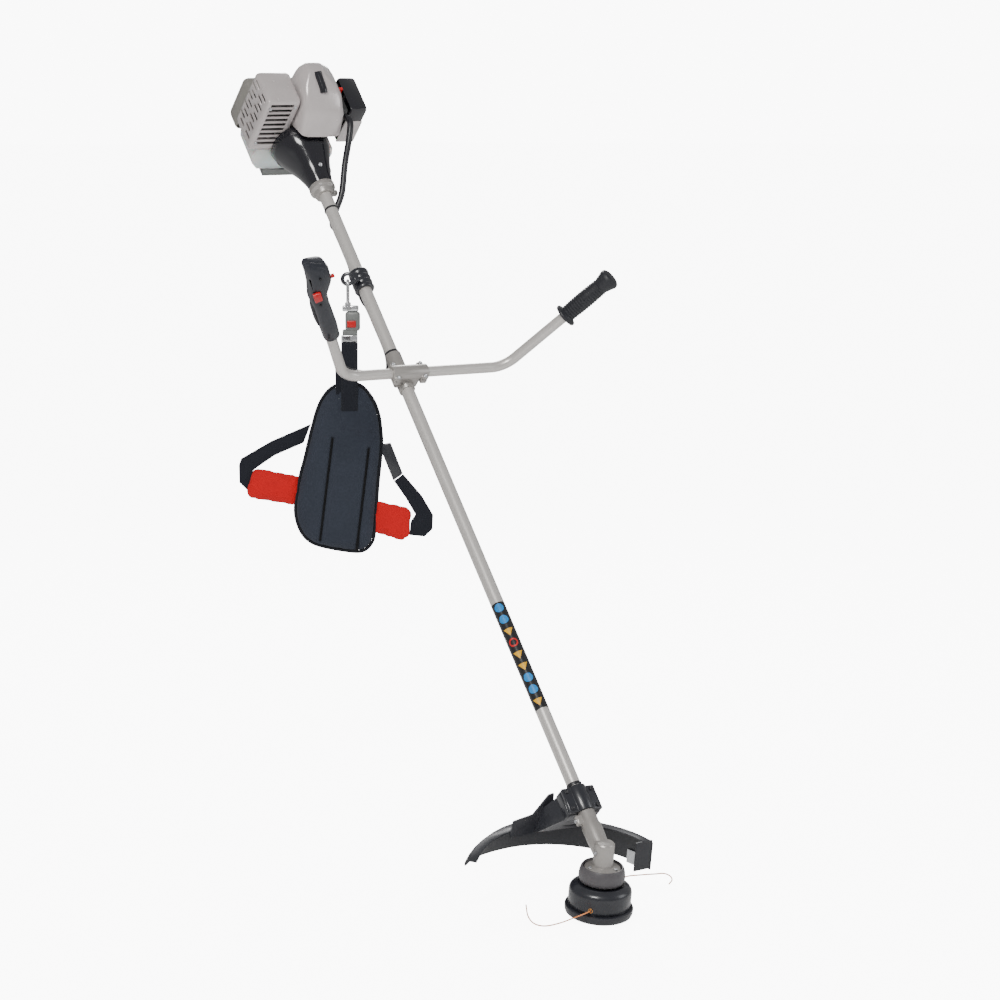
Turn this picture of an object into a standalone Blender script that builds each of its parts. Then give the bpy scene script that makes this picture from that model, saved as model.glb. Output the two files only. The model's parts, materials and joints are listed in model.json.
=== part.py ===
"""A petrol string trimmer with a two-arm handlebar, a straight shaft and a carrying harness.

Lengths are in metres and +Z is up. The machine stands on the flat centre of its bump knob, which
is the origin: the head is at -Y, the engine is up the shaft at +Y, and the plain grip is at +X.
"""

import math

import bmesh
import bpy
from mathutils import Matrix, Vector

# Pose: how the shaft and the cutting head stand to the ground.
SHAFT_ANGLE = math.radians(46)
HEAD_TILT = math.radians(9)
HEAD_TO_SHAFT = SHAFT_ANGLE - HEAD_TILT
KNOB_TO_GEARS = 0.1195

GAP = 0.0003
# Turns a piece drawn along Z so that it lies along the shaft, or across the machine.
ALONG = (-math.pi / 2, 0, 0)
ACROSS = (0, math.pi / 2, 0)

# Shaft tube
TUBE_R = 0.013
TUBE_BORE_R = 0.0115
TUBE_FOOT = 0.052
TUBE_TOP = 1.572
DRIVE_R = 0.0035
DRIVE_FOOT = 0.0065
DRIVE_TOP = 1.632

# Bevel gears: cone distance, half angles of the pinion and the wheel, and their teeth
CONE = 0.0125
PINION_CONE = math.radians(46.5)
WHEEL_CONE = math.radians(80.5)
PINION_TEETH = 14
WHEEL_TEETH = 19
OUTPUT_R = 0.005

# Cutting head, as heights along its axis below the crossing of the axes
CAP_TOP = -0.050
CAP_FOOT = -0.0925
CAP_R = 0.0564
RIM_R = 0.0616
RIM_TOP = -0.0930
RIM_FOOT = -0.1098
KNOB_R = 0.0200
KNOB_TRAVEL = 0.006
LINE_R = 0.0012
LINE_AT = -0.0838
EYELET_TURN = math.radians(42)
LINE_LEFT = (
    (-0.0386, -0.0348),
    (-0.0480, -0.0405),
    (-0.0819, -0.0512),
    (-0.1186, -0.0613),
    (-0.1498, -0.0626),
    (-0.1629, -0.0471),
    (-0.1575, -0.0170),
    (-0.1380, 0.0235),
)
LINE_RIGHT = (
    (0.0386, 0.0348),
    (0.0480, 0.0420),
    (0.0942, 0.0646),
    (0.1253, 0.0626),
    (0.1541, 0.0569),
    (0.1711, 0.0530),
    (0.1757, 0.0398),
    (0.1695, 0.0237),
    (0.1547, 0.0108),
)

# Guard: a skirt round a centre beside the head
GUARD_CENTRE = (-0.06, 0.02)
GUARD_R = 0.187
GUARD_WALL = 0.003
GUARD_FROM = math.radians(-47)
GUARD_TO = math.radians(86)
GUARD_LOW = -0.060
GUARD_STEPS = 18
GUARD_CLAMP = (0.089, 0.139)
GUARD_CLAMP_HALF = 0.034

# Handlebar: a bent tube clamped across the shaft
BAR_AT = (0.0, 1.0696, 0.0272)
BAR_LEAN = math.radians(6)
BAR_R = 0.0105
BAR_BEND = 0.055
RIGHT_CORNER = 0.215
LEFT_CORNER = -0.141
RIGHT_RISE = math.radians(57)
LEFT_RISE = math.radians(61)
RIGHT_ARM = 0.281
LEFT_ARM = 0.250
GRIP_FROM = 0.160
GRIP_LENGTH = 0.124
HANDLE_FROM = 0.126

SWITCH_AT = (-0.0035, -0.0185, 0.1515)
# The trigger and the lever, seen from the side: out from the handle's middle, and along it.
TRIGGER_OUTLINE = (
    (0.0125, 0.1480),
    (0.0195, 0.1495),
    (0.0215, 0.1380),
    (0.0262, 0.1180),
    (0.0290, 0.0980),
    (0.0280, 0.0790),
    (0.0248, 0.0780),
    (0.0225, 0.0980),
    (0.0190, 0.1180),
    (0.0152, 0.1340),
)
LOCKOUT_OUTLINE = (
    (-0.0130, 0.1220),
    (-0.0172, 0.1235),
    (-0.0193, 0.1060),
    (-0.0193, 0.0700),
    (-0.0172, 0.0560),
    (-0.0150, 0.0560),
    (-0.0148, 0.1000),
    (-0.0130, 0.1120),
)

# Throttle cable: its route on the bar, in the bar's frame, then in the shaft's frame
CABLE_ON_BAR = (
    (-0.2016, 0.0155, 0.1080),
    (-0.1820, 0.0158, 0.0720),
    (-0.1560, 0.0160, 0.0300),
    (-0.1250, 0.0160, 0.0040),
)
CABLE_ON_SHAFT = (
    (-0.0900, 1.0900, 0.0130),
    (-0.0640, 1.0960, 0.0010),
    (-0.0400, 1.1010, -0.0070),
    (-0.0210, 1.1080, -0.0185),
    (-0.0060, 1.1250, -0.0225),
    (0.0000, 1.1600, -0.0190),
    (0.0000, 1.2200, -0.0180),
    (0.0000, 1.2700, -0.0190),
    (0.0000, 1.2950, -0.0250),
    (0.0000, 1.3550, -0.0250),
    (0.0000, 1.3800, -0.0190),
    (0.0000, 1.4300, -0.0180),
)
CABLE_SLEEVE = (
    (0.0040, 1.4900, -0.0225),
    (0.0160, 1.5160, -0.0170),
    (0.0320, 1.5420, 0.0010),
    (0.0390, 1.5600, 0.0130),
    (0.0490, 1.6000, 0.0400),
    (0.0610, 1.6400, 0.0740),
    (0.0680, 1.6700, 0.0890),
    (0.0680, 1.6930, 0.0790),
)

# Hanger eye, in the shaft's frame, and the way the harness faces
EYE_AT = (-0.038, 1.318, 0.016)
EYE_RING = 0.0105
EYE_WIRE = 0.004
HOOK_WIRE = 0.003
HARNESS_TURN = math.radians(-30)
HANGER = (1.299, 1.345)
PAD_THICK = 0.026

# Harness outlines, across and down from the eye
SHOULDER_STRAP = (
    (-0.0110, -0.1255),
    (0.0185, -0.1255),
    (0.0195, -0.1955),
    (0.0200, -0.2615),
    (-0.0155, -0.2615),
    (-0.0130, -0.1955),
)
HIP_PAD = (
    (0.0000, -0.2065),
    (-0.0220, -0.2105),
    (-0.0420, -0.2240),
    (-0.0600, -0.2530),
    (-0.0745, -0.3010),
    (-0.0880, -0.3560),
    (-0.1000, -0.4010),
    (-0.1085, -0.4560),
    (-0.1055, -0.4860),
    (-0.0950, -0.5110),
    (-0.0760, -0.5290),
    (-0.0450, -0.5390),
    (0.0050, -0.5470),
    (0.0280, -0.5450),
    (0.0430, -0.5310),
    (0.0500, -0.5060),
    (0.0570, -0.4160),
    (0.0650, -0.3360),
    (0.0640, -0.3010),
    (0.0600, -0.2710),
    (0.0500, -0.2430),
    (0.0330, -0.2190),
    (0.0180, -0.2090),
)
WAIST_LEFT = (
    (-0.0755, -0.2890),
    (-0.1560, -0.3240),
    (-0.2160, -0.3590),
    (-0.2205, -0.3720),
    (-0.2200, -0.4070),
    (-0.2050, -0.4220),
    (-0.1920, -0.3830),
    (-0.1830, -0.3760),
    (-0.1480, -0.3520),
    (-0.0905, -0.3270),
)
WAIST_RIGHT = (
    (0.1080, -0.3905),
    (0.1450, -0.4340),
    (0.1675, -0.4730),
    (0.1660, -0.5020),
    (0.1500, -0.5170),
    (0.1195, -0.5140),
    (0.1225, -0.4860),
    (0.1320, -0.4720),
    (0.1130, -0.4390),
    (0.0890, -0.4040),
)
SIDE_PAD_LEFT = (
    (-0.1905, -0.3830),
    (-0.1830, -0.3800),
    (-0.1012, -0.3960),
    (-0.1092, -0.4520),
    (-0.2010, -0.4370),
    (-0.2045, -0.4250),
)
SIDE_PAD_RIGHT = (
    (0.0560, -0.4450),
    (0.1150, -0.4600),
    (0.1215, -0.4680),
    (0.1180, -0.5140),
    (0.1060, -0.5240),
    (0.0520, -0.5080),
)
SIDE_BUCKLE = (
    (0.0660, -0.3300),
    (0.0830, -0.3270),
    (0.1070, -0.3895),
    (0.0880, -0.4030),
    (0.0655, -0.3460),
)

# Engine, as places along the shaft
COLLAR = (1.549, 1.573)
HORN_TOP = 1.689
CASE = (1.692, 1.770)
CRANK_R = 0.0075
CHOKE_AT = (0.0650, 1.7370, 0.0930)
# The hood over the cylinder, by height: across from and to, and along the shaft from and to
HOOD = (
    (0.0480, -0.0435, 0.0530, 1.6960, 1.7758),
    (0.0660, -0.0435, 0.0530, 1.6490, 1.7758),
    (0.0720, -0.0435, 0.0530, 1.6520, 1.7758),
    (0.1050, -0.0435, 0.0530, 1.6660, 1.7755),
    (0.1330, -0.0400, 0.0450, 1.6900, 1.7745),
    (0.1450, -0.0360, 0.0340, 1.7100, 1.7730),
    (0.1570, -0.0260, 0.0130, 1.7340, 1.7690),
    (0.1610, -0.0210, 0.0090, 1.7400, 1.7640),
)
HOOD_WALL = 0.003
# The tank straddles the crankcase; the stand is a tray under it. Both are seen from the front.
TANK_OUTLINE = (
    (-0.0950, -0.0215),
    (-0.0570, -0.0215),
    (-0.0510, -0.0490),
    (0.0510, -0.0490),
    (0.0570, -0.0215),
    (0.0770, -0.0215),
    (0.0820, -0.0400),
    (0.0800, -0.0640),
    (0.0710, -0.0800),
    (-0.0780, -0.0800),
    (-0.0930, -0.0640),
    (-0.1000, -0.0400),
)
STAND_OUTLINE = (
    (-0.0600, -0.0985),
    (0.0450, -0.0985),
    (0.0450, -0.0805),
    (0.0420, -0.0805),
    (0.0420, -0.0955),
    (-0.0570, -0.0955),
    (-0.0570, -0.0805),
    (-0.0600, -0.0805),
)


# ---------------------------------------------------------------- helpers


def clear_scene():
    for thing in list(bpy.data.objects):
        bpy.data.objects.remove(thing, do_unlink=True)


def finish(name, colour, roughness, metallic=0.0):
    """A Principled material."""
    material = bpy.data.materials.new(name)
    material.use_nodes = True
    shader = material.node_tree.nodes["Principled BSDF"]
    shader.inputs["Base Color"].default_value = colour
    shader.inputs["Roughness"].default_value = roughness
    shader.inputs["Metallic"].default_value = metallic
    return material


def frame(name, place=(0, 0, 0), turn=(0, 0, 0), parent=None):
    """An empty whose axes the pieces on it are drawn in."""
    empty = bpy.data.objects.new(name, None)
    bpy.context.collection.objects.link(empty)
    empty.parent = parent
    empty.location = place
    empty.rotation_euler = turn
    return empty


def add(name, mesh_or_curve, material, parent, place=(0, 0, 0), turn=(0, 0, 0)):
    piece = bpy.data.objects.new(name, mesh_or_curve)
    bpy.context.collection.objects.link(piece)
    piece.parent = parent
    piece.location = place
    piece.rotation_euler = turn
    mesh_or_curve.materials.append(material)
    return piece


def mesh_from(name, bm, smooth_below=40):
    bmesh.ops.remove_doubles(bm, verts=bm.verts, dist=1e-6)
    bmesh.ops.recalc_face_normals(bm, faces=bm.faces)
    mesh = bpy.data.meshes.new(name)
    bm.to_mesh(mesh)
    bm.free()
    mesh.shade_smooth()
    mesh.set_sharp_from_angle(angle=math.radians(smooth_below))
    return mesh


def turned(name, profile, material, parent, place=(0, 0, 0), turn=(0, 0, 0), sides=20):
    """A profile of (radius, height) points spun round Z; it closes on the axis or on itself."""
    bm = bmesh.new()
    points = [bm.verts.new((r, 0, h)) for r, h in profile]
    edges = [bm.edges.new(pair) for pair in zip(points, points[1:])]
    if min(profile[0][0], profile[-1][0]) > 0:
        edges.append(bm.edges.new((points[-1], points[0])))
    bmesh.ops.spin(
        bm,
        geom=points + edges,
        axis=(0, 0, 1),
        cent=(0, 0, 0),
        angle=2 * math.pi,
        steps=sides,
        use_merge=True,
    )
    return add(name, mesh_from(name, bm), material, parent, place, turn)


def rod(name, radius, low, high, material, parent, place=(0, 0, 0), turn=(0, 0, 0), sides=16):
    profile = [(0, low), (radius, low), (radius, high), (0, high)]
    return turned(name, profile, material, parent, place, turn, sides)


def ring(name, inner, outer, low, high, material, parent, place=(0, 0, 0), turn=(0, 0, 0), sides=20):
    profile = [(inner, low), (outer, low), (outer, high), (inner, high)]
    return turned(name, profile, material, parent, place, turn, sides)


def block(name, low, high, material, parent, bevel=0.0, segments=2, turn=(0, 0, 0), place=(0, 0, 0)):
    """A box between two corners, with its edges rounded."""
    bm = bmesh.new()
    bmesh.ops.create_cube(bm, size=1)
    size = Vector(high) - Vector(low)
    bmesh.ops.scale(bm, vec=size, verts=bm.verts)
    bmesh.ops.translate(bm, vec=(Vector(low) + Vector(high)) / 2, verts=bm.verts)
    if bevel:
        bmesh.ops.bevel(
            bm, geom=bm.edges[:], offset=bevel, segments=segments, profile=0.5, affect="EDGES"
        )
    return add(name, mesh_from(name, bm), material, parent, place, turn)


def prism(name, outline, low, high, material, parent, axes="xzy", place=(0, 0, 0), turn=(0, 0, 0)):
    """An outline drawn on the first two of axes, extruded along the third from low to high."""
    order = ["xyz".index(letter) for letter in axes]
    bm = bmesh.new()
    floor = []
    for a, b in outline:
        spot = [0.0, 0.0, 0.0]
        spot[order[0]], spot[order[1]], spot[order[2]] = a, b, low
        floor.append(bm.verts.new(spot))
    face = bm.faces.new(floor)
    made = bmesh.ops.extrude_face_region(bm, geom=[face])
    lift = [0.0, 0.0, 0.0]
    lift[order[2]] = high - low
    risen = [v for v in made["geom"] if isinstance(v, bmesh.types.BMVert)]
    bmesh.ops.translate(bm, vec=lift, verts=risen)
    return add(name, mesh_from(name, bm), material, parent, place, turn)


def loft(name, rings, material, parent, closed=False, place=(0, 0, 0), turn=(0, 0, 0), smooth_below=40):
    """Rings of points joined in order; the ends are capped, or joined when closed."""
    bm = bmesh.new()
    rows = [[bm.verts.new(p) for p in points] for points in rings]
    pairs = list(zip(rows, rows[1:]))
    if closed:
        pairs.append((rows[-1], rows[0]))
    for lower, upper in pairs:
        for i in range(len(lower)):
            j = (i + 1) % len(lower)
            bm.faces.new((lower[i], lower[j], upper[j], upper[i]))
    if not closed:
        bm.faces.new(rows[0])
        bm.faces.new(rows[-1])
    return add(name, mesh_from(name, bm, smooth_below), material, parent, place, turn)


def oval(half_x, half_y, centre, count=16, power=2.0, start=0.0):
    """Points of a superellipse: power 2 is an ellipse, more is squarer."""
    points = []
    for i in range(count):
        angle = start + 2 * math.pi * i / count
        c, s = math.cos(angle), math.sin(angle)
        x = math.copysign(abs(c) ** (2 / power), c) * half_x
        y = math.copysign(abs(s) ** (2 / power), s) * half_y
        points.append((centre[0] + x, centre[1] + y))
    return points


def smooth_route(points, count):
    """Evenly parted points on a Catmull-Rom curve through the given ones."""
    knots = [Vector(p) for p in points]
    knots = [2 * knots[0] - knots[1]] + knots + [2 * knots[-1] - knots[-2]]
    fine = []
    for p0, p1, p2, p3 in zip(knots, knots[1:], knots[2:], knots[3:]):
        for step in range(20):
            t = step / 20
            a = 2 * p1 + (p2 - p0) * t
            b = (2 * p0 - 5 * p1 + 4 * p2 - p3) * t * t
            c = (3 * p1 - p0 - 3 * p2 + p3) * t**3
            fine.append((a + b + c) / 2)
    fine.append(knots[-2])
    lengths = [0.0]
    for p, q in zip(fine, fine[1:]):
        lengths.append(lengths[-1] + (q - p).length)
    route = []
    k = 0
    for i in range(count):
        want = lengths[-1] * i / (count - 1)
        while k < len(lengths) - 2 and lengths[k + 1] < want:
            k += 1
        span = lengths[k + 1] - lengths[k]
        route.append(fine[k].lerp(fine[k + 1], (want - lengths[k]) / span))
    return route


def wire(name, route, radius, material, parent, sides_step=1, widths=None, loop=False):
    """A round solid along a route, as a curve with a bevel and filled caps."""
    curve = bpy.data.curves.new(name, "CURVE")
    curve.dimensions = "3D"
    curve.bevel_depth = radius
    curve.bevel_resolution = sides_step
    curve.use_fill_caps = not loop
    spline = curve.splines.new("POLY")
    spline.points.add(len(route) - 1)
    for i, spot in enumerate(route):
        spline.points[i].co = (*spot, 1)
        spline.points[i].radius = widths[i] if widths else 1.0
    spline.use_cyclic_u = loop
    return add(name, curve, material, parent)


def rings_along(route, radius, across, sides, loop=False):
    """Circles round each point of a flat route whose plane has the normal across."""
    rows = []
    last = len(route) - 1
    for i, spot in enumerate(route):
        before = route[i - 1] if loop else route[max(i - 1, 0)]
        after = route[(i + 1) % len(route)] if loop else route[min(i + 1, last)]
        ahead = (Vector(after) - Vector(before)).normalized()
        side = across.cross(ahead)
        angles = [2 * math.pi * k / sides for k in range(sides)]
        rows.append([Vector(spot) + radius * (math.cos(a) * side + math.sin(a) * across) for a in angles])
    return rows


def hollow_tube(name, route, outer, inner, material, parent, sides=12):
    """An open tube with a wall, along a flat route in the XZ plane."""
    across = Vector((0, 1, 0))
    outside = rings_along(route, outer, across, sides)
    inside = rings_along(route, inner, across, sides)
    return loft(name, outside + inside[::-1], material, parent, closed=True)


def hoop(name, route, radius, across, material, parent, sides=8):
    """A closed loop of round bar in the plane whose normal is across."""
    rings = rings_along(route, radius, Vector(across), sides, loop=True)
    return loft(name, rings, material, parent, closed=True)


def guide(piece):
    """Keeps a cutter, or a shape that is joined into another, out of the model."""
    piece.hide_render = True
    piece.display_type = "WIRE"
    return piece


def cut(piece, *cutters):
    for cutter in cutters:
        change = piece.modifiers.new("cut", "BOOLEAN")
        change.operation = "DIFFERENCE"
        change.object = guide(cutter)


def join(piece, *others):
    for other in others:
        change = piece.modifiers.new("join", "BOOLEAN")
        change.operation = "UNION"
        change.object = guide(other)


def box_set(name, boxes, material, parent):
    """One cutter made of boxes that stand apart, each given by its two corners."""
    bm = bmesh.new()
    for low, high in boxes:
        made = bmesh.ops.create_cube(bm, size=1)["verts"]
        bmesh.ops.scale(bm, vec=Vector(high) - Vector(low), verts=made)
        bmesh.ops.translate(bm, vec=(Vector(low) + Vector(high)) / 2, verts=made)
    return add(name, mesh_from(name, bm), material, parent)


# ---------------------------------------------------------------- shaft and gears


def toothed(name, cone, teeth, near, bore, material, parent):
    """A bevel gear with its apex at the origin and its axis along Z, made of tapered teeth."""
    count = 2 * teeth
    angles = [math.pi * (k + 0.5) / teeth for k in range(count)]
    rings = []
    for distance in (near, CONE):
        reach = distance * math.sin(cone)
        height = distance * math.cos(cone)
        sizes = [reach * (0.97 if k % 2 else 0.84) for k in range(count)]
        rings.append([(r * math.cos(a), r * math.sin(a), height) for r, a in zip(sizes, angles)])
    back = CONE * math.cos(cone) + 0.004
    rings.append([(0.8 * x, 0.8 * y, back) for x, y, z in rings[1]])
    for height in (back, near * math.cos(cone)):
        rings.append([(bore * math.cos(a), bore * math.sin(a), height) for a in angles])
    return loft(name, rings, material, parent, closed=True, smooth_below=20)


def make_shaft(axis, metal):
    satin = finish("satin_silver_paint", (0.62, 0.61, 0.59, 1), 0.35, 0.6)
    ring("shaft_tube", TUBE_BORE_R, TUBE_R, TUBE_FOOT, TUBE_TOP, satin, axis, sides=24)
    rod("drive_shaft", DRIVE_R, DRIVE_FOOT, DRIVE_TOP, metal, axis, sides=12)


def make_gear_case(head, axis, cast, metal):
    case = turned(
        "gear_case",
        [
            (0, -0.031),
            (0.030, -0.031),
            (0.0325, -0.028),
            (0.0325, -0.022),
            (0.0185, -0.018),
            (0.0183, 0.023),
            (0.0155, 0.026),
            (0, 0.026),
        ],
        cast,
        head,
        sides=20,
    )
    socket = turned(
        "socket_shape",
        [
            (0, 0.002),
            (0.0165, 0.002),
            (0.0172, 0.02),
            (0.0182, 0.06),
            (0.0165, 0.064),
            (0.0165, 0.088),
            (0, 0.088),
        ],
        cast,
        axis,
        sides=20,
    )
    lug = block("socket_lug_shape", (-0.026, -0.006, 0.066), (-0.006, 0.006, 0.084), cast, axis, 0.002, 1)
    join(case, socket, lug)
    cut(
        case,
        rod("gear_chamber", 0.0142, -0.06, 0.015, cast, head, sides=20),
        rod("tube_seat", TUBE_R + GAP, TUBE_FOOT - GAP, 0.12, cast, axis, sides=24),
        rod("pinion_way", 0.0102, 0.006, 0.06, cast, axis, sides=16),
    )
    # The gears' pitch cones meet at the crossing of the axes.
    toothed("bevel_pinion", PINION_CONE, PINION_TEETH, 0.0085, DRIVE_R + GAP, metal, axis)
    wheel_axis = frame("wheel_axis", turn=(math.pi, 0, 0), parent=head)
    toothed("bevel_wheel", WHEEL_CONE, WHEEL_TEETH, 0.0085, OUTPUT_R + GAP, metal, wheel_axis)
    rod("output_shaft", OUTPUT_R, -0.0800, -0.0012, metal, head, sides=14)
    cover = finish("dark_grey_plastic", (0.075, 0.072, 0.078, 1), 0.45)
    turned(
        "dust_cover",
        [
            (0.0065, -0.0345),
            (0.0330, -0.0345),
            (0.0352, -0.0185),
            (0.0365, -0.0180),
            (0.0412, -0.0290),
            (0.0417, -0.0400),
            (0.0385, -0.0475),
            (0.0350, -0.0475),
            (0.0370, -0.0385),
            (0.0065, -0.0365),
        ],
        cover,
        head,
        sides=24,
    )


# ---------------------------------------------------------------- cutting head


def make_head(head, metal):
    black = finish("black_plastic", (0.012, 0.012, 0.016, 1), 0.35)
    housing = turned(
        "spool_housing",
        [
            (OUTPUT_R + GAP, CAP_TOP),
            (0.030, CAP_TOP),
            (0.046, -0.0525),
            (0.0535, -0.0580),
            (CAP_R, -0.0650),
            (CAP_R, CAP_FOOT),
            (0.0540, CAP_FOOT),
            (0.0540, -0.0665),
            (0.0510, -0.0605),
            (0.0440, -0.0555),
            (OUTPUT_R + GAP, -0.0555),
        ],
        black,
        head,
        sides=28,
    )
    for k in range(2):
        turn = (0, math.pi / 2, EYELET_TURN + math.pi * k)
        cut(housing, rod(f"eyelet_hole_{k}", 0.0030, 0.040, 0.070, black, head, (0, 0, LINE_AT), turn, 10))
    turned(
        "spool",
        [
            (0.0210, -0.0625),
            (0.0435, -0.0625),
            (0.0435, -0.0643),
            (0.0300, -0.0650),
            (0.0300, -0.0850),
            (0.0480, -0.0857),
            (0.0480, -0.0875),
            (0.0210, -0.0875),
        ],
        finish("spool_grey", (0.10, 0.10, 0.11, 1), 0.5),
        head,
        sides=20,
    )
    coil = []
    turns, points = 5, 50
    for i in range(points):
        angle = 2 * math.pi * turns * i / (points - 1)
        height = -0.0566 - 0.0300 * i / (points - 1)
        coil.append((0.0190 * math.cos(angle), 0.0190 * math.sin(angle), height))
    wire("spool_spring", coil, 0.0008, metal, head)
    turned(
        "head_cover",
        [
            (0.0225, RIM_FOOT),
            (0.0560, RIM_FOOT),
            (0.0606, -0.1060),
            (RIM_R, -0.0990),
            (RIM_R, -0.0950),
            (0.0600, RIM_TOP),
            (0.0225, RIM_TOP),
        ],
        black,
        head,
        sides=28,
    )
    turned(
        "bump_knob",
        [
            (0, -0.0878),
            (0.0220, -0.0878),
            (0.0220, -0.0920),
            (KNOB_R, -0.0925),
            (KNOB_R, -KNOB_TO_GEARS + 0.003),
            (KNOB_R - 0.003, -KNOB_TO_GEARS),
            (0, -KNOB_TO_GEARS),
        ],
        finish("knob_black", (0.02, 0.02, 0.022, 1), 0.4),
        head,
        sides=20,
    )
    nylon = finish("orange_nylon", (0.9, 0.28, 0.04, 1), 0.3)
    for name, outline in (("line_left", LINE_LEFT), ("line_right", LINE_RIGHT)):
        route = smooth_route([(x, y, LINE_AT) for x, y in outline], 30)
        wire(name, route, LINE_R, nylon, head, 2)


# ---------------------------------------------------------------- guard


def make_guard(head, shaft, metal):
    black = finish("guard_black", (0.018, 0.018, 0.022, 1), 0.4)
    rings = []
    for i in range(GUARD_STEPS + 1):
        share = i / GUARD_STEPS
        angle = GUARD_FROM + (GUARD_TO - GUARD_FROM) * share
        top = -0.040 + 0.030 * math.sin(min(1, share * 2.2) * math.pi / 2) + 0.008 * share
        low = GUARD_LOW + 0.008 * max(0, 1 - 4 * share)
        roof = 0.022 + 0.050 * math.exp(-(((share - 0.52) / 0.20) ** 2))
        profile = [
            (GUARD_R, low),
            (GUARD_R, top - 0.006),
            (GUARD_R - 0.006, top),
            (GUARD_R - roof, top + 0.3 * (roof - 0.022)),
            (GUARD_R - roof, top + 0.3 * (roof - 0.022) - GUARD_WALL),
            (GUARD_R - 0.007, top - GUARD_WALL),
            (GUARD_R - GUARD_WALL, top - 0.007),
            (GUARD_R - GUARD_WALL, low),
        ]
        rings.append(
            [
                (GUARD_CENTRE[0] + r * math.sin(angle), GUARD_CENTRE[1] + r * math.cos(angle), z)
                for r, z in profile
            ]
        )
    shell = loft("guard_shell", rings, black, head)
    # The neck stands on the roof and ends in a flat pad under the clamp.
    under = -0.0205
    along = Vector((0, math.cos(HEAD_TO_SHAFT), math.sin(HEAD_TO_SHAFT)))
    out = Vector((0, -math.sin(HEAD_TO_SHAFT), math.cos(HEAD_TO_SHAFT)))
    upper = [
        Vector((x, 0, 0)) + along * s + out * under
        for x, s in ((-0.030, 0.092), (0.030, 0.092), (0.030, 0.138), (-0.030, 0.138))
    ]
    lower = [
        (-0.052, 0.142, -0.006),
        (0.044, 0.136, -0.006),
        (0.036, 0.176, -0.008),
        (-0.060, 0.186, -0.008),
    ]
    neck = loft("neck_shape", [lower, upper], black, head)
    web = prism(
        "web_shape",
        [
            (-0.020, 0.062),
            (-0.030, 0.060),
            (-0.060, 0.026),
            (-0.100, 0.018),
            (-0.104, -0.012),
            (-0.020, -0.012),
        ],
        0.148,
        0.153,
        black,
        head,
    )
    end_wall = block(
        "end_wall_shape",
        (-0.0015, 0.150, -0.058),
        (0.0015, 0.1855, -0.003),
        black,
        head,
        turn=(0, 0, 0.012 - GUARD_TO),
        place=(*GUARD_CENTRE, 0),
    )
    join(shell, neck, web, end_wall)
    reach = GUARD_CLAMP_HALF
    foot, top = GUARD_CLAMP
    bracket = block("guard_bracket", (-reach, foot, -0.0200), (reach, top, -GAP), black, shaft, 0.002, 1)
    cap = block("guard_clamp_cap", (-reach, foot, GAP), (reach, top, 0.0085), black, shaft, 0.002, 1)
    join(cap, rod("cap_ridge_shape", 0.0185, foot, top, black, shaft, turn=ALONG, sides=20))
    bore = rod("guard_bore_cut", TUBE_R + GAP, 0.05, 0.16, black, shaft, turn=ALONG, sides=24)
    cut(cap, block("cap_floor_cut", (-0.05, 0.05, -0.05), (0.05, 0.16, GAP), black, shaft), bore)
    cut(bracket, bore)
    block(
        "line_cutter_blade",
        (-0.012, 0.1815, -0.066),
        (0.012, 0.1830, -0.040),
        metal,
        head,
        turn=(0, 0, -math.radians(72)),
        place=(*GUARD_CENTRE, 0),
    )


# ---------------------------------------------------------------- handlebar and controls


def bar_route():
    """The bar's middle line: two straight arms joined to the middle by round bends."""
    route = []
    for corner, rise, arm, side in (
        (LEFT_CORNER, LEFT_RISE, LEFT_ARM, -1),
        (RIGHT_CORNER, RIGHT_RISE, RIGHT_ARM, 1),
    ):
        back = BAR_BEND * math.tan(rise / 2)
        bend = []
        for k in range(7):
            angle = rise * k / 6
            across = corner - side * back + side * BAR_BEND * math.sin(angle)
            bend.append((across, 0, BAR_BEND * (1 - math.cos(angle))))
        tip = (corner + side * arm * math.cos(rise), 0, arm * math.sin(rise))
        stretch = bend + [tip]
        route = stretch[::-1] if side < 0 else route + stretch
    return route


def make_handlebar(bar, shaft, cast):
    paint = finish("bar_silver", (0.62, 0.61, 0.59, 1), 0.35, 0.6)
    hollow_tube("handlebar", bar_route(), BAR_R, BAR_R - 0.0016, paint, bar, 14)
    base = block("bar_clamp_base", (-0.0250, 1.0560, -0.0040), (0.0250, 1.0832, 0.0265), cast, shaft, 0.003, 1)
    sleeve = rod("sleeve_shape", 0.0162, 1.046, 1.134, cast, shaft, turn=ALONG, sides=20)
    cap = rod("bar_clamp_cap", 0.0158, -0.0385, 0.0385, cast, shaft, BAR_AT, ACROSS, 20)
    join(base, sleeve)
    for left, right in ((-0.0365, -0.0220), (0.0220, 0.0365)):
        low, high = (left, 1.0495, 0.0150), (right, 1.0897, 0.0265)
        join(base, block("base_ears_shape", low, high, cast, shaft, 0.002, 1))
        low, high = (left, 1.0495, 0.0272), (right, 1.0897, 0.0345)
        join(cap, block("cap_ears_shape", low, high, cast, shaft, 0.002, 1))
    bar_cut = rod("bar_seat_cut", BAR_R + GAP, -0.06, 0.06, cast, shaft, BAR_AT, ACROSS, 14)
    cut(base, rod("bar_base_bore_cut", TUBE_R + GAP, 1.0, 1.2, cast, shaft, turn=ALONG, sides=24), bar_cut)
    cut(cap, block("cap_under_cut", (-0.06, 1.0, 0.0), (0.06, 1.2, 0.0275), cast, shaft), bar_cut)


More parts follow.
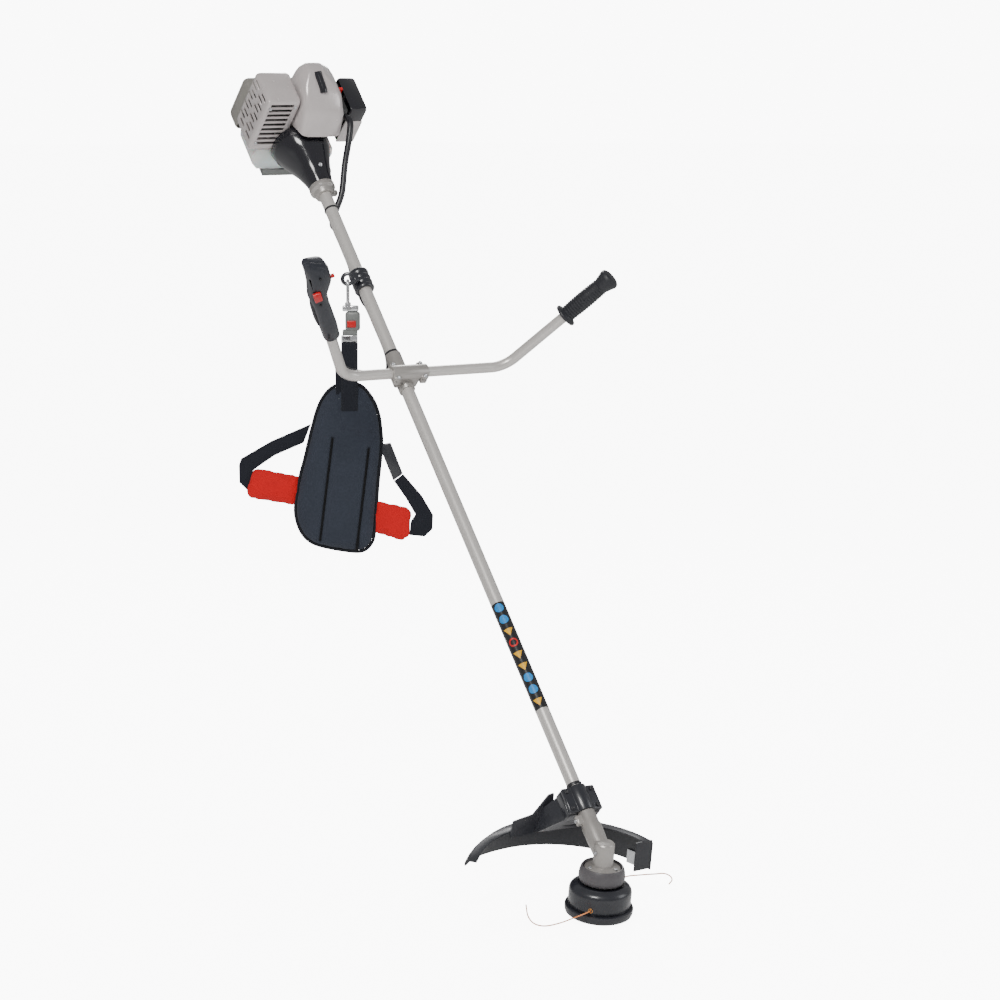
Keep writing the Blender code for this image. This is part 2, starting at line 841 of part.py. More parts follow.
def make_plain_grip(grip):
    """A flange, a barrel that swells in the middle and a flared end that closes over the tube."""
    rubber = finish("black_rubber", (0.012, 0.013, 0.017, 1), 0.6)
    inner = BAR_R + GAP
    floor = GRIP_LENGTH - 0.0020
    profile = [
        (0, floor),
        (inner, floor),
        (inner, 0.0),
        (0.0235, 0.0),
        (0.0245, 0.0025),
        (0.0235, 0.0055),
        (0.0165, 0.0085),
        (0.0158, 0.0200),
        (0.0168, 0.0600),
        (0.0160, 0.0950),
        (0.0170, 0.1040),
        (0.0215, 0.1150),
        (0.0205, 0.1210),
        (0.0120, GRIP_LENGTH),
        (0, GRIP_LENGTH),
    ]
    turned("plain_grip", profile, rubber, grip, sides=20)


def make_controls(control):
    """Two half shells round the bar's left arm; the trigger, lever, switch and button sit in them."""
    plastic = finish("handle_plastic", (0.045, 0.050, 0.062, 1), 0.5)
    black = finish("lever_black", (0.015, 0.015, 0.018, 1), 0.45)
    red = finish("signal_red", (0.75, 0.01, 0.015, 1), 0.4)
    # Each station: height, half width, half depth, and how far its centre is set over and back.
    stations = (
        (0.005, 0.0130, 0.0130, 0.0020, 0.000),
        (0.011, 0.0160, 0.0165, 0.0020, 0.000),
        (0.045, 0.0172, 0.0178, 0.0020, 0.000),
        (0.112, 0.0165, 0.0180, 0.0005, 0.000),
        (0.138, 0.0180, 0.0195, 0.0000, 0.001),
        (0.170, 0.0225, 0.0235, 0.0105, 0.002),
        (0.196, 0.0225, 0.0230, 0.0120, 0.002),
        (0.212, 0.0205, 0.0205, 0.0100, 0.003),
        (0.222, 0.0115, 0.0160, 0.0010, 0.003),
        (0.230, 0.0060, 0.0100, -0.0020, 0.003),
    )
    whole = [[(x, y, a) for x, y in oval(hx, hy, (cx, cy), 16, 2.6)] for a, hx, hy, cx, cy in stations]
    bore = rod("handle_bore_cut", BAR_R + GAP, -0.02, LEFT_ARM - HANDLE_FROM + 0.002, plastic, control, sides=14)
    windows = box_set(
        "handle_windows_cut",
        (
            ((-0.0080, -0.0150, 0.1680), (0.0240, 0.0150, 0.1980)),
            ((-0.0056, 0.0118, 0.0700), (0.0056, 0.0500, 0.1505)),
            ((-0.0400, -0.0066, 0.0500), (-0.0115, 0.0066, 0.1250)),
            ((-0.0120, -0.0400, 0.1380), (0.0050, -0.0145, 0.1650)),
        ),
        plastic,
        control,
    )
    button_hole = rod("button_hole_cut", 0.0043, 0.020, 0.060, plastic, control, (0, -0.004, 0.173), ACROSS, 12)
    for name, edge in (("handle_shell_front", 1), ("handle_shell_rear", -1)):
        shell = loft(name, whole, plastic, control, smooth_below=28)
        low, high = sorted((-edge * GAP / 2, edge * 0.06))
        other_half = block(name + "_other_half", (-0.08, low, -0.02), (0.08, high, 0.26), plastic, control)
        cut(shell, other_half, bore, windows, button_hole)
    prism("throttle_trigger", TRIGGER_OUTLINE, -0.0050, 0.0050, black, control, "yzx")
    prism("trigger_lockout", LOCKOUT_OUTLINE, -0.0060, 0.0060, black, control)
    switch = frame("switch_frame", SWITCH_AT, parent=control)
    block("stop_switch", (-0.0075, -0.0050, -0.0120), (0.0075, 0.0012, 0.0120), red, switch, 0.0010, 1)
    button = frame("button_frame", (0.0265, -0.004, 0.173), ACROSS, control)
    rod("half_throttle_button", 0.0040, 0.0010, 0.0135, red, button, sides=12)


def from_bar(x, y, z):
    """A place drawn in the bar's frame, in the shaft's frame."""
    c, s = math.cos(BAR_LEAN), math.sin(BAR_LEAN)
    return (BAR_AT[0] + x, BAR_AT[1] + y * c + z * s, BAR_AT[2] - y * s + z * c)


def make_throttle_cable(shaft):
    """The cable follows the bar and the underside of the shaft, then its thick sleeve rises to the engine."""
    black = finish("cable_black", (0.012, 0.012, 0.016, 1), 0.45)
    thin = [from_bar(*spot) for spot in CABLE_ON_BAR] + list(CABLE_ON_SHAFT)
    route = smooth_route(thin + list(CABLE_SLEEVE), 78)
    start = CABLE_SLEEVE[0][1]
    widths = [1.95 if spot[1] > start and spot[2] > -0.0195 else 1.0 for spot in route]
    wire("throttle_cable", route, 0.0034, black, shaft, 1, widths)


# ---------------------------------------------------------------- harness


def make_hanger(shaft, hang, metal):
    black = finish("hanger_black", (0.015, 0.015, 0.018, 1), 0.4)
    low, high = HANGER
    ribs = [(TUBE_R + GAP, low), (0.0190, low), (0.0205, low + 0.003)]
    for k in range(3):
        start = low + 0.006 + 0.012 * k
        ribs += [(0.0205, start), (0.0190, start + 0.002), (0.0190, start + 0.006), (0.0205, start + 0.008)]
    ribs += [(0.0205, high - 0.003), (0.0190, high), (TUBE_R + GAP, high)]
    clamp = turned("hanger_clamp", ribs, black, shaft, turn=ALONG, sides=20)
    steps = 16
    circle = [2 * math.pi * k / steps for k in range(steps)]
    ring_route = [(EYE_RING * math.cos(a), 0, EYE_RING * math.sin(a)) for a in circle]
    eye = hoop("eye_shape", ring_route, EYE_WIRE, (0, 1, 0), black, hang)
    arm = block("eye_arm_shape", (-0.0285, 1.3080, 0.0060), (-0.0160, 1.3300, 0.0240), black, shaft, 0.002, 1)
    join(clamp, arm, eye)
    cut(clamp, rod("hanger_bore_cut", TUBE_R + GAP, 1.25, 1.40, black, shaft, turn=ALONG, sides=20))
    # The hook's top bend is round the eye's lowest bar, which it swings on.
    pivot = -EYE_RING
    bend = EYE_WIRE + HOOK_WIRE + GAP
    half = [math.pi * k / 8 for k in range(9)]
    top = [(0, bend * math.cos(a), pivot + bend * math.sin(a)) for a in half]
    foot = [(0, -bend * math.cos(a), -0.0420 - bend * math.sin(a)) for a in half]
    hook = hoop("snap_hook", top + foot, HOOK_WIRE, (1, 0, 0), metal, hang, 10)
    barrel = rod("barrel_shape", 0.0060, -0.0610, -0.0465, metal, hang, sides=12)
    bar = block("cross_bar_shape", (-0.0110, -0.0050, -0.0640), (0.0210, 0.0050, -0.0520), metal, hang, 0.0030, 1)
    join(hook, barrel, bar)


def make_harness(hang):
    webbing = finish("black_webbing", (0.010, 0.011, 0.016, 1), 0.85)
    fabric = finish("pad_fabric", (0.030, 0.034, 0.045, 1), 0.9)
    red_pad = finish("red_padding", (0.80, 0.02, 0.02, 1), 0.8)
    buckle = finish("buckle_black", (0.012, 0.012, 0.015, 1), 0.35)
    grey = finish("release_grey", (0.22, 0.23, 0.22, 1), 0.45)
    red = bpy.data.materials["signal_red"]
    catch = block("quick_release", (-0.0055, -0.0075, -0.1030), (0.0240, 0.0075, -0.0645), grey, hang, 0.0050, 2)
    low, high = (-0.0110, -0.0055, -0.1250), (0.0185, 0.0055, -0.1000)
    join(catch, block("strap_bar_shape", low, high, grey, hang, 0.0020, 1))
    tab = [(-0.0075, 0), (0.0075, 0), (0.0075, -0.0110), (0.0030, -0.0125), (-0.0075, -0.0125)]
    release = frame("release_frame", (-0.0030, -0.0058, -0.1120), parent=hang)
    prism("release_tab", tab, -0.0034, 0, red, release)
    prism("shoulder_strap", SHOULDER_STRAP, -0.0168, -0.0133, webbing, hang)
    prism("hip_pad", HIP_PAD, -PAD_THICK / 2, PAD_THICK / 2, fabric, hang)
    prism("waist_strap_left", WAIST_LEFT, -0.0020, 0.0020, webbing, hang)
    prism("waist_strap_right", WAIST_RIGHT, -0.0020, 0.0020, webbing, hang)
    prism("side_pad_left", SIDE_PAD_LEFT, -0.0090, 0.0090, red_pad, hang)
    prism("side_pad_right", SIDE_PAD_RIGHT, -0.0090, 0.0090, red_pad, hang)
    prism("side_buckle", SIDE_BUCKLE, -0.0055, 0.0055, buckle, hang)


# ---------------------------------------------------------------- engine


def make_clutch_end(axis, cast, metal):
    """The collar on the shaft, the flared housing behind it, and the clutch and fan inside."""
    black = finish("gloss_black", (0.010, 0.010, 0.014, 1), 0.18)
    low, high = COLLAR
    profile = [
        (TUBE_R + GAP, low),
        (0.0195, low),
        (0.0205, low + 0.010),
        (0.0265, low + 0.014),
        (0.0265, high),
        (TUBE_R + GAP, high),
    ]
    collar = turned("shaft_collar", profile, cast, axis, sides=20)
    lug_low, lug_high = (0.0140, -0.0060, low + 0.001), (0.0290, 0.0060, low + 0.012)
    lug = block("collar_lug_shape", lug_low, lug_high, cast, axis, 0.002, 1)
    join(collar, lug)
    # Each station: place along the shaft, half width, half height, and how far over and up its centre is.
    stations = (
        (high + GAP, 0.0235, 0.0235, 0.000, 0.000),
        (1.5920, 0.0265, 0.0265, 0.000, 0.000),
        (1.6200, 0.0345, 0.0355, -0.002, 0.001),
        (1.6460, 0.0460, 0.0480, -0.006, 0.003),
        (1.6680, 0.0555, 0.0540, -0.010, 0.003),
        (HORN_TOP, 0.0590, 0.0560, -0.012, 0.002),
    )
    outer = [[(x, y, s) for x, y in oval(hx, hy, (cx, -cy), 24, 2.4)] for s, hx, hy, cx, cy in stations]
    wall = 0.003
    inner = []
    for s, hx, hy, cx, cy in stations[:1:-1]:
        inner.append([(x, y, s) for x, y in oval(hx - wall, hy - wall, (cx, -cy), 24, 2.4)])
    for s, bore in ((1.6000, 0.0225), (1.5850, 0.0062), (high + GAP, 0.0062)):
        inner.append([(x, y, s) for x, y in oval(bore, bore, (0, 0), 24)])
    loft("clutch_housing", outer + inner, black, axis, closed=True)
    drum = [
        (0, DRIVE_TOP + GAP),
        (0.0080, DRIVE_TOP + GAP),
        (0.0085, 1.6400),
        (0.0325, 1.6400),
        (0.0325, 1.6680),
        (0.0302, 1.6680),
        (0.0302, 1.6425),
        (0, 1.6425),
    ]
    turned("clutch_drum", drum, metal, axis, sides=20)
    wheel = [
        (0, 1.6460),
        (0.0280, 1.6460),
        (0.0280, 1.6690),
        (0.0120, 1.6700),
        (0.0120, 1.6725),
        (0.0400, 1.6725),
        (0.0420, 1.6860),
        (0.0380, 1.6880),
        (0, 1.6880),
    ]
    turned("flywheel", wheel, finish("fan_grey", (0.35, 0.35, 0.36, 1), 0.5, 0.6), axis, sides=20)


def make_block(shaft, axis, cast, metal):
    """Crankcase, crankshaft, finned cylinder and plug."""
    bore = CRANK_R + GAP
    low = HORN_TOP + GAP
    case = [
        (bore, low),
        (0.0440, low),
        (0.0440, 1.7700),
        (bore, 1.7700),
        (bore, 1.7640),
        (0.0330, 1.7640),
        (0.0330, 1.7010),
        (bore, 1.7010),
    ]
    turned("crankcase", case, cast, axis, sides=24)
    crank = [
        (0, 1.6884),
        (CRANK_R, 1.6884),
        (CRANK_R, 1.7030),
        (0.0300, 1.7030),
        (0.0300, 1.7620),
        (CRANK_R, 1.7620),
        (CRANK_R, 1.7735),
        (0, 1.7735),
    ]
    turned("crankshaft", crank, metal, axis, sides=16)
    fins = [(0, 0.0465), (0.0280, 0.0465), (0.0280, 0.0510), (0.0230, 0.0525)]
    for k in range(5):
        start = 0.0560 + 0.0130 * k
        fins += [(0.0230, start), (0.0330, start + 0.0005)]
        fins += [(0.0330, start + 0.0030), (0.0230, start + 0.0035)]
    fins += [(0.0230, 0.1240), (0, 0.1240)]
    middle = (0, sum(CASE) / 2, 0)
    turned("cylinder", fins, cast, shaft, middle, sides=16)
    plug = [
        (0, 0.1243),
        (0.0075, 0.1243),
        (0.0075, 0.1300),
        (0.0050, 0.1310),
        (0.0050, 0.1400),
        (0, 0.1400),
    ]
    turned("spark_plug", plug, metal, shaft, middle, sides=12)


def make_covers(shaft):
    silver = finish("pearl_silver", (0.60, 0.58, 0.58, 1), 0.35, 0.3)
    rings = []
    hollows = []
    for height, left, right, near, far in HOOD:
        middle = ((left + right) / 2, (near + far) / 2)
        reach = ((right - left) / 2, (far - near) / 2)
        rings.append([(x, y, height) for x, y in oval(*reach, middle, 24, 6)])
        inside = oval(reach[0] - HOOD_WALL, reach[1] - HOOD_WALL, middle, 24, 6)
        hollows.append([(x, y, height - HOOD_WALL) for x, y in inside])
    hollows[0] = [(x, y, 0.02) for x, y, z in hollows[0]]
    hood = loft("cylinder_cover", rings, silver, shaft)
    cut(hood, loft("hood_hollow_cut", hollows, silver, shaft))
    guard = block("muffler_guard", (-0.1205, 1.6900, -0.0170), (-0.0445, 1.7760, 0.1260), silver, shaft, 0.009, 2)
    slots = []
    for k in range(9):
        height = 0.0010 + 0.0135 * k
        shift = 0.0090 if k % 2 else 0
        for start in (1.7015, 1.7370):
            near, far = start + shift, start + shift + 0.0240
            slots.append(((-0.1300, near, height), (-0.1100, far, height + 0.0085)))
        slots.append(((-0.1108, 1.6800, height), (-0.0600, 1.6980, height + 0.0085)))
    cut(
        guard,
        block("guard_hollow_cut", (-0.1175, 1.6930, -0.0140), (-0.0300, 1.8000, 0.1230), silver, shaft, 0.006, 1),
        box_set("guard_slots_cut", slots, silver, shaft),
    )
    cast = bpy.data.materials["cast_aluminium"]
    block("muffler", (-0.0980, 1.7050, 0.0140), (-0.0500, 1.7660, 0.1080), cast, shaft, 0.008, 2)
    low, high = (-0.1080, 1.7765, -0.0540), (0.0785, 1.8300, 0.0560)
    starter = block("starter_housing", low, high, silver, shaft, 0.012, 2)
    low, high = (-0.1050, 1.7000, -0.0510), (0.0755, 1.8270, 0.0530)
    hollow = block("starter_hollow_cut", low, high, silver, shaft, 0.009, 2)
    cut(starter, hollow)
    black = bpy.data.materials["black_plastic"]
    grip = block("starter_grip", (0.0200, 1.8340, 0.0260), (0.0560, 1.8480, 0.0400), black, shaft, 0.004, 2)
    join(grip, rod("grip_stem_shape", 0.0040, 1.8303, 1.8390, black, shaft, (0.038, 0, 0.033), ALONG, 10))


def make_intake(shaft, cast):
    black = bpy.data.materials["black_plastic"]
    carburettor = block("carburettor", (0.0565, 1.7000, 0.0450), (0.0770, 1.7420, 0.0880), cast, shaft, 0.003, 1)
    middle = (0.0668, 1.7180, 0)
    cut(carburettor, rod("bulb_seat_cut", 0.0085, 0.0400, 0.0500, cast, shaft, middle, sides=12))
    bulb = [
        (0, 0.0360),
        (0.0040, 0.0368),
        (0.0070, 0.0395),
        (0.0080, 0.0430),
        (0.0080, 0.0445),
        (0, 0.0445),
    ]
    turned("primer_bulb", bulb, finish("clear_bulb", (0.8, 0.8, 0.78, 1), 0.2), shaft, middle, sides=12)
    lever = frame("choke_frame", CHOKE_AT, parent=shaft)
    red = bpy.data.materials["signal_red"]
    choke = block("choke_lever", (-0.0012, -0.0030, -0.0030), (0.0012, 0.0030, 0.0210), red, lever, 0.0008, 1)
    join(choke, block("choke_tab_shape", (-0.0070, -0.0030, 0.0190), (0.0012, 0.0030, 0.0215), red, lever))
    cover = block("filter_cover", (0.0800, 1.7000, -0.0090), (0.1215, 1.7915, 0.0925), black, shaft, 0.008, 2)
    hollow = block("filter_hollow_cut", (0.0700, 1.7030, -0.0060), (0.1185, 1.7885, 0.0895), black, shaft, 0.005, 1)
    cut(cover, hollow)


def make_tank(shaft, axis):
    white = finish("tank_white", (0.75, 0.75, 0.73, 1), 0.4)
    black = bpy.data.materials["black_plastic"]
    tank = prism("fuel_tank", TANK_OUTLINE, 1.6965, 1.7750, white, shaft, "xzy")
    neck_at = (0.055, 0.066, 0)
    cut(
        tank,
        block("tank_hollow_cut", (-0.0760, 1.6995, -0.0770), (0.0680, 1.7720, -0.0520), white, shaft),
        rod("filler_cut", 0.0090, 1.7600, 1.7900, white, axis, neck_at, sides=12),
    )
    profile = [(0, 1.7753), (0.0118, 1.7753), (0.0118, 1.7880), (0.0100, 1.7900), (0, 1.7900)]
    turned("fuel_cap", profile, black, axis, neck_at, sides=12)
    grey = finish("stand_grey", (0.10, 0.10, 0.11, 1), 0.5)
    stand = prism("tank_stand", STAND_OUTLINE, 1.6930, 1.7900, grey, shaft, "xzy")
    low, high = (-0.0590, 1.6935, -0.0980), (0.0440, 1.6960, -0.0810)
    join(stand, block("stand_front_shape", low, high, grey, shaft))


# ---------------------------------------------------------------- assembly


def main():
    clear_scene()
    gears = (0, -KNOB_TO_GEARS * math.sin(HEAD_TILT), KNOB_TO_GEARS * math.cos(HEAD_TILT))
    head = frame("head_frame", gears, (HEAD_TILT, 0, 0))
    shaft = frame("shaft_frame", gears, (SHAFT_ANGLE, 0, 0))
    axis = frame("shaft_axis", turn=ALONG, parent=shaft)
    bar = frame("bar_frame", BAR_AT, (-BAR_LEAN, 0, 0), shaft)
    right = (RIGHT_CORNER + GRIP_FROM * math.cos(RIGHT_RISE), 0, GRIP_FROM * math.sin(RIGHT_RISE))
    grip = frame("grip_frame", right, (0, math.pi / 2 - RIGHT_RISE, 0), bar)
    left = (LEFT_CORNER - HANDLE_FROM * math.cos(LEFT_RISE), 0, HANDLE_FROM * math.sin(LEFT_RISE))
    control = frame("control_frame", left, (0, LEFT_RISE - math.pi / 2, 0), bar)
    to_world = Matrix.Translation(gears) @ Matrix.Rotation(SHAFT_ANGLE, 4, "X")
    hang = frame("hang_frame", to_world @ Vector(EYE_AT), (0, 0, HARNESS_TURN))
    cast = finish("cast_aluminium", (0.70, 0.69, 0.67, 1), 0.5, 0.8)
    metal = finish("bright_steel", (0.55, 0.56, 0.58, 1), 0.3, 1.0)
    make_shaft(axis, metal)
    make_gear_case(head, axis, cast, metal)
    make_head(head, metal)
    make_guard(head, shaft, metal)
    make_handlebar(bar, shaft, cast)
    make_plain_grip(grip)
    make_controls(control)
    make_throttle_cable(shaft)
    make_hanger(shaft, hang, metal)
    make_harness(hang)
    make_clutch_end(axis, cast, metal)
    make_block(shaft, axis, cast, metal)
    make_covers(shaft)
    make_intake(shaft, cast)
    make_tank(shaft, axis)


main()
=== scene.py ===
"""The looks of a petrol string trimmer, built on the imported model's bodies.

Lengths are in metres and +Z is up. The machine stands on its bump knob at the origin: the head is
at -Y, the engine is up the shaft at +Y, and the plain grip is at +X.
"""

import json
import math

import bmesh
import bpy
from mathutils import Matrix, Vector

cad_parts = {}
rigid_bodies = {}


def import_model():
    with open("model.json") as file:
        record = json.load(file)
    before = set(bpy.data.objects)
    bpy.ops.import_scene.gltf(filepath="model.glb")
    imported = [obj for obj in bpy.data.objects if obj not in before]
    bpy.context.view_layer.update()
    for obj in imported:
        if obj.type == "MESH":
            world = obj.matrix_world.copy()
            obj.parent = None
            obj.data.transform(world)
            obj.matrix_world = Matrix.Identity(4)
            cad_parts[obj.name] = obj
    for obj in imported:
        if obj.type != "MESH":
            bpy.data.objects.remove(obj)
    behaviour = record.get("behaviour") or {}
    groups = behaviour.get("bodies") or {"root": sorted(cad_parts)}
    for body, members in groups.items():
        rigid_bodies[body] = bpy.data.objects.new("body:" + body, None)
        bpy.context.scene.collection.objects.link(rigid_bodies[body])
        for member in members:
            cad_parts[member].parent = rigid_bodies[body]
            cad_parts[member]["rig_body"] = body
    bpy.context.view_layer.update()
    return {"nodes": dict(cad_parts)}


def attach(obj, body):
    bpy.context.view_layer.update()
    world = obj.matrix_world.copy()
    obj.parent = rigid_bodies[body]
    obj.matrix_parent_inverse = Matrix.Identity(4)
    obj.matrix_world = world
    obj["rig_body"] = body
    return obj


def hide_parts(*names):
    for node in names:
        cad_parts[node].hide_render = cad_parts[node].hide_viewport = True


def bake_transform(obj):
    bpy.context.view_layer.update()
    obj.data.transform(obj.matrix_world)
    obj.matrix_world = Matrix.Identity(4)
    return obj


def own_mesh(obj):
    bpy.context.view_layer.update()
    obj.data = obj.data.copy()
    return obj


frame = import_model()
scene = bpy.context.scene

# ---------------------------------------------------------------- studio
# The machine stands on a plain white floor under a large soft key light from the upper left, a
# weaker fill from the right and a rim light from behind. The surround is white.

# Strength of the white surround as a light, and as the camera sees it; then the floor's own glow.
SURROUND_LIGHT, SURROUND_SEEN, FLOOR_GLOW = 0.42, 9.7, 9.0
FLOOR_LEVEL = -0.0028
CAMERA_AT = Vector((-2.6405, -4.2251, 1.5415))
CAMERA_AIM = Vector((-0.1097, 0.1583, 0.7398))
camera = bpy.data.objects.new("camera", bpy.data.cameras.new("camera"))
camera.data.lens = 104.21
camera.data.sensor_width = 36
camera.location = CAMERA_AT
camera.rotation_mode = "QUATERNION"
camera.rotation_quaternion = (CAMERA_AIM - CAMERA_AT).to_track_quat("-Z", "Y")
scene.collection.objects.link(camera)
scene.camera = camera

# Each light: where it stands, its side, its power and its colour.
for name, place, side, power, tint in (
    ("key_light", (-2.4, -2.0, 3.6), 1.3, 155, (1.0, 0.99, 0.97)),
    ("fill_light", (2.8, -1.6, 1.8), 1.6, 26, (0.96, 0.98, 1.0)),
    ("rim_light", (1.2, 3.2, 2.6), 1.4, 60, (1.0, 1.0, 1.0)),
):
    lamp = bpy.data.lights.new(name, "AREA")
    lamp.size = side
    lamp.energy = power
    lamp.color = tint
    stand = bpy.data.objects.new(name, lamp)
    stand.location = place
    stand.rotation_mode = "QUATERNION"
    stand.rotation_quaternion = (Vector((0, 0.4, 0.8)) - Vector(place)).to_track_quat("-Z", "Y")
    scene.collection.objects.link(stand)

surround = bpy.data.worlds.new("surround")
surround.use_nodes = True
backdrop = surround.node_tree
ray = backdrop.nodes.new("ShaderNodeLightPath")
level = backdrop.nodes.new("ShaderNodeMapRange")
level.inputs["To Min"].default_value = SURROUND_LIGHT
level.inputs["To Max"].default_value = SURROUND_SEEN
backdrop.links.new(ray.outputs["Is Camera Ray"], level.inputs["Value"])
backdrop.nodes["Background"].inputs["Color"].default_value = (1, 1, 1, 1)
backdrop.links.new(level.outputs["Result"], backdrop.nodes["Background"].inputs["Strength"])
scene.world = surround


class Signal:
    """A shader socket that takes part in sums."""

    def __init__(self, finish, socket):
        self.finish = finish
        self.socket = socket

    def reckon(self, operation, first, second):
        return self.finish.node("ShaderNodeMath", {"operation": operation}, {0: first, 1: second})

    def __add__(self, other):
        return self.reckon("ADD", self, other)

    def __radd__(self, other):
        return self.reckon("ADD", other, self)

    def __sub__(self, other):
        return self.reckon("SUBTRACT", self, other)

    def __rsub__(self, other):
        return self.reckon("SUBTRACT", other, self)

    def __mul__(self, other):
        return self.reckon("MULTIPLY", self, other)

    def __rmul__(self, other):
        return self.reckon("MULTIPLY", other, self)

    def __gt__(self, other):
        return self.reckon("GREATER_THAN", self, other)

    def __lt__(self, other):
        return self.reckon("LESS_THAN", self, other)

    def __abs__(self):
        return self.reckon("ABSOLUTE", self, 0)


class Finish:
    """A node material built up round one principled shader."""

    def __init__(self, name, colour, roughness, sockets=()):
        self.material = bpy.data.materials.new(name)
        self.material.use_nodes = True
        self.tree = self.material.node_tree
        self.shader = self.tree.nodes["Principled BSDF"]
        self.material.diffuse_color = (*colour, 1)
        self.set({"Base Color": (*colour, 1), "Roughness": roughness, **dict(sockets)})

    def plug(self, socket, value):
        if isinstance(value, Signal):
            self.tree.links.new(value.socket, socket)
        else:
            socket.default_value = value

    def set(self, sockets):
        for key, value in sockets.items():
            self.plug(self.shader.inputs[key], value)

    def node(self, kind, settings, values, out=0):
        made = self.tree.nodes.new(kind)
        for key, value in settings.items():
            if key == "stops":
                ramp = made.color_ramp.elements
                while len(ramp) < len(value):
                    ramp.new(0.5)
                for stop, (spot, colour) in zip(ramp, value):
                    stop.position = spot
                    stop.color = colour
            else:
                setattr(made, key, value)
        for key, value in values.items():
            self.plug(made.inputs[key], value)
        return Signal(self, made.outputs[out])

    def spot(self, scale=(1, 1, 1)):
        """The place on the piece, scaled."""
        here = self.node("ShaderNodeTexCoord", {}, {}, 3)
        return self.node("ShaderNodeVectorMath", {"operation": "MULTIPLY"}, {0: here, 1: scale})

    def parts(self, vector):
        split = self.node("ShaderNodeSeparateXYZ", {}, {0: vector})
        return [Signal(self, out) for out in split.socket.node.outputs]

    def grain(self, vector, scale, detail=2.0):
        return self.node("ShaderNodeTexNoise", {}, {"Vector": vector, "Scale": scale, "Detail": detail})

    def mix(self, first, second, share):
        return self.node("ShaderNodeMix", {"data_type": "RGBA"}, {0: share, 6: first, 7: second}, 2)

    def bump(self, height, depth):
        sockets = {"Height": height, "Distance": depth, "Strength": 1.0}
        return self.node("ShaderNodeBump", {}, sockets)


white_floor = Finish("white_floor", (0.93, 0.93, 0.93), 0.7)
floor_patch = white_floor.grain(white_floor.spot(), 2.0)
white_floor.set({"Emission Color": white_floor.node("ShaderNodeLightPath", {}, {})})
white_floor.set({"Emission Strength": FLOOR_GLOW})
white_floor.set({"Base Color": white_floor.mix((0.94, 0.94, 0.94, 1), (0.97, 0.97, 0.97, 1), floor_patch)})
sheet = bmesh.new()
bmesh.ops.create_circle(sheet, cap_ends=True, radius=40, segments=64)
floor_mesh = bpy.data.meshes.new("floor")
sheet.to_mesh(floor_mesh)
sheet.free()
floor_mesh.materials.append(white_floor.material)
floor_mesh.transform(Matrix.Translation((0, 0, FLOOR_LEVEL)))
floor = bpy.data.objects.new("floor", floor_mesh)
scene.collection.objects.link(floor)

# ---------------------------------------------------------------- cutting line
# Two stubs of round nylon line, 2.4 mm thick, leave the head through eyelets on opposite sides.
# They are stiff and keep the curl of the spool that they were wound on.

HEAD_TILT = math.radians(9)
KNOB_TO_GEARS = 0.1195
GEARS = Vector((0, -KNOB_TO_GEARS * math.sin(HEAD_TILT), KNOB_TO_GEARS * math.cos(HEAD_TILT)))
HEAD = Matrix.Translation(GEARS) @ Matrix.Rotation(HEAD_TILT, 4, "X")
LINE_HEIGHT = -0.0838
LINE_R = 0.0012
LINE_LEFT = (
    (-0.0386, -0.0348), (-0.0480, -0.0405), (-0.0819, -0.0512), (-0.1186, -0.0613),
    (-0.1498, -0.0626), (-0.1629, -0.0471), (-0.1575, -0.0170), (-0.1380, 0.0235),
)
LINE_RIGHT = (
    (0.0386, 0.0348), (0.0480, 0.0420), (0.0942, 0.0646), (0.1253, 0.0626), (0.1541, 0.0569),
    (0.1711, 0.0530), (0.1757, 0.0398), (0.1695, 0.0237), (0.1547, 0.0108),
)


def smooth_route(points, count):
    """Evenly spaced points of a smooth curve through the given ones."""
    points = [Vector(p) for p in points]
    fine = []
    ends = [2 * points[0] - points[1], *points, 2 * points[-1] - points[-2]]
    for a, b, c, d in zip(ends, ends[1:], ends[2:], ends[3:]):
        for k in range(24):
            t = k / 24
            bend = (2 * a - 5 * b + 4 * c - d) * t * t
            fine.append(0.5 * (2 * b + (c - a) * t + bend + (3 * b - 3 * c + d - a) * t**3))
    fine.append(points[-1])
    reach = [0.0]
    for a, b in zip(fine, fine[1:]):
        reach.append(reach[-1] + (b - a).length)
    out = []
    k = 0
    for i in range(count):
        want = reach[-1] * i / (count - 1)
        while k < len(reach) - 2 and reach[k + 1] < want:
            k += 1
        share = (want - reach[k]) / max(reach[k + 1] - reach[k], 1e-12)
        out.append(fine[k].lerp(fine[k + 1], min(1, share)))
    return out


nylon = Finish("orange_nylon", (0.86, 0.22, 0.05), 0.28, {"Subsurface Weight": 0.15})
nylon_fade = nylon.grain(nylon.spot(), 60)
nylon.set({"Base Color": nylon.mix((0.80, 0.17, 0.03, 1), (0.95, 0.36, 0.14, 1), nylon_fade)})
nylon.set({"Normal": nylon.bump(nylon.grain(nylon.spot(), 1500), 0.00004)})
for name, outline, node in (
    ("nylon_stub_left", LINE_LEFT, "line_left"),
    ("nylon_stub_right", LINE_RIGHT, "line_right"),
):
    curve = bpy.data.curves.new(name, "CURVE")
    curve.dimensions = "3D"
    curve.bevel_depth = LINE_R
    curve.bevel_resolution = 3
    curve.use_fill_caps = True
    route = [HEAD @ p for p in smooth_route([(x, y, LINE_HEIGHT) for x, y in outline], 60)]
    spline = curve.splines.new("POLY")
    spline.points.add(len(route) - 1)
    for point, spot in zip(spline.points, route):
        point.co = (*spot, 1)
    spline.use_smooth = True
    curve.materials.append(nylon.material)
    stub = bpy.data.objects.new(name, curve)
    scene.collection.objects.link(stub)
    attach(stub, "cutting_head")
    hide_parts(node)
    length = sum((b - a).length for a, b in zip(route, route[1:]))

# ---------------------------------------------------------------- cutting head
# The spool housing, its rim and the bump knob are moulded in black nylon and turn together. Two
# eyelets let the line out, and a dark grey cup above keeps grass off the bearing.


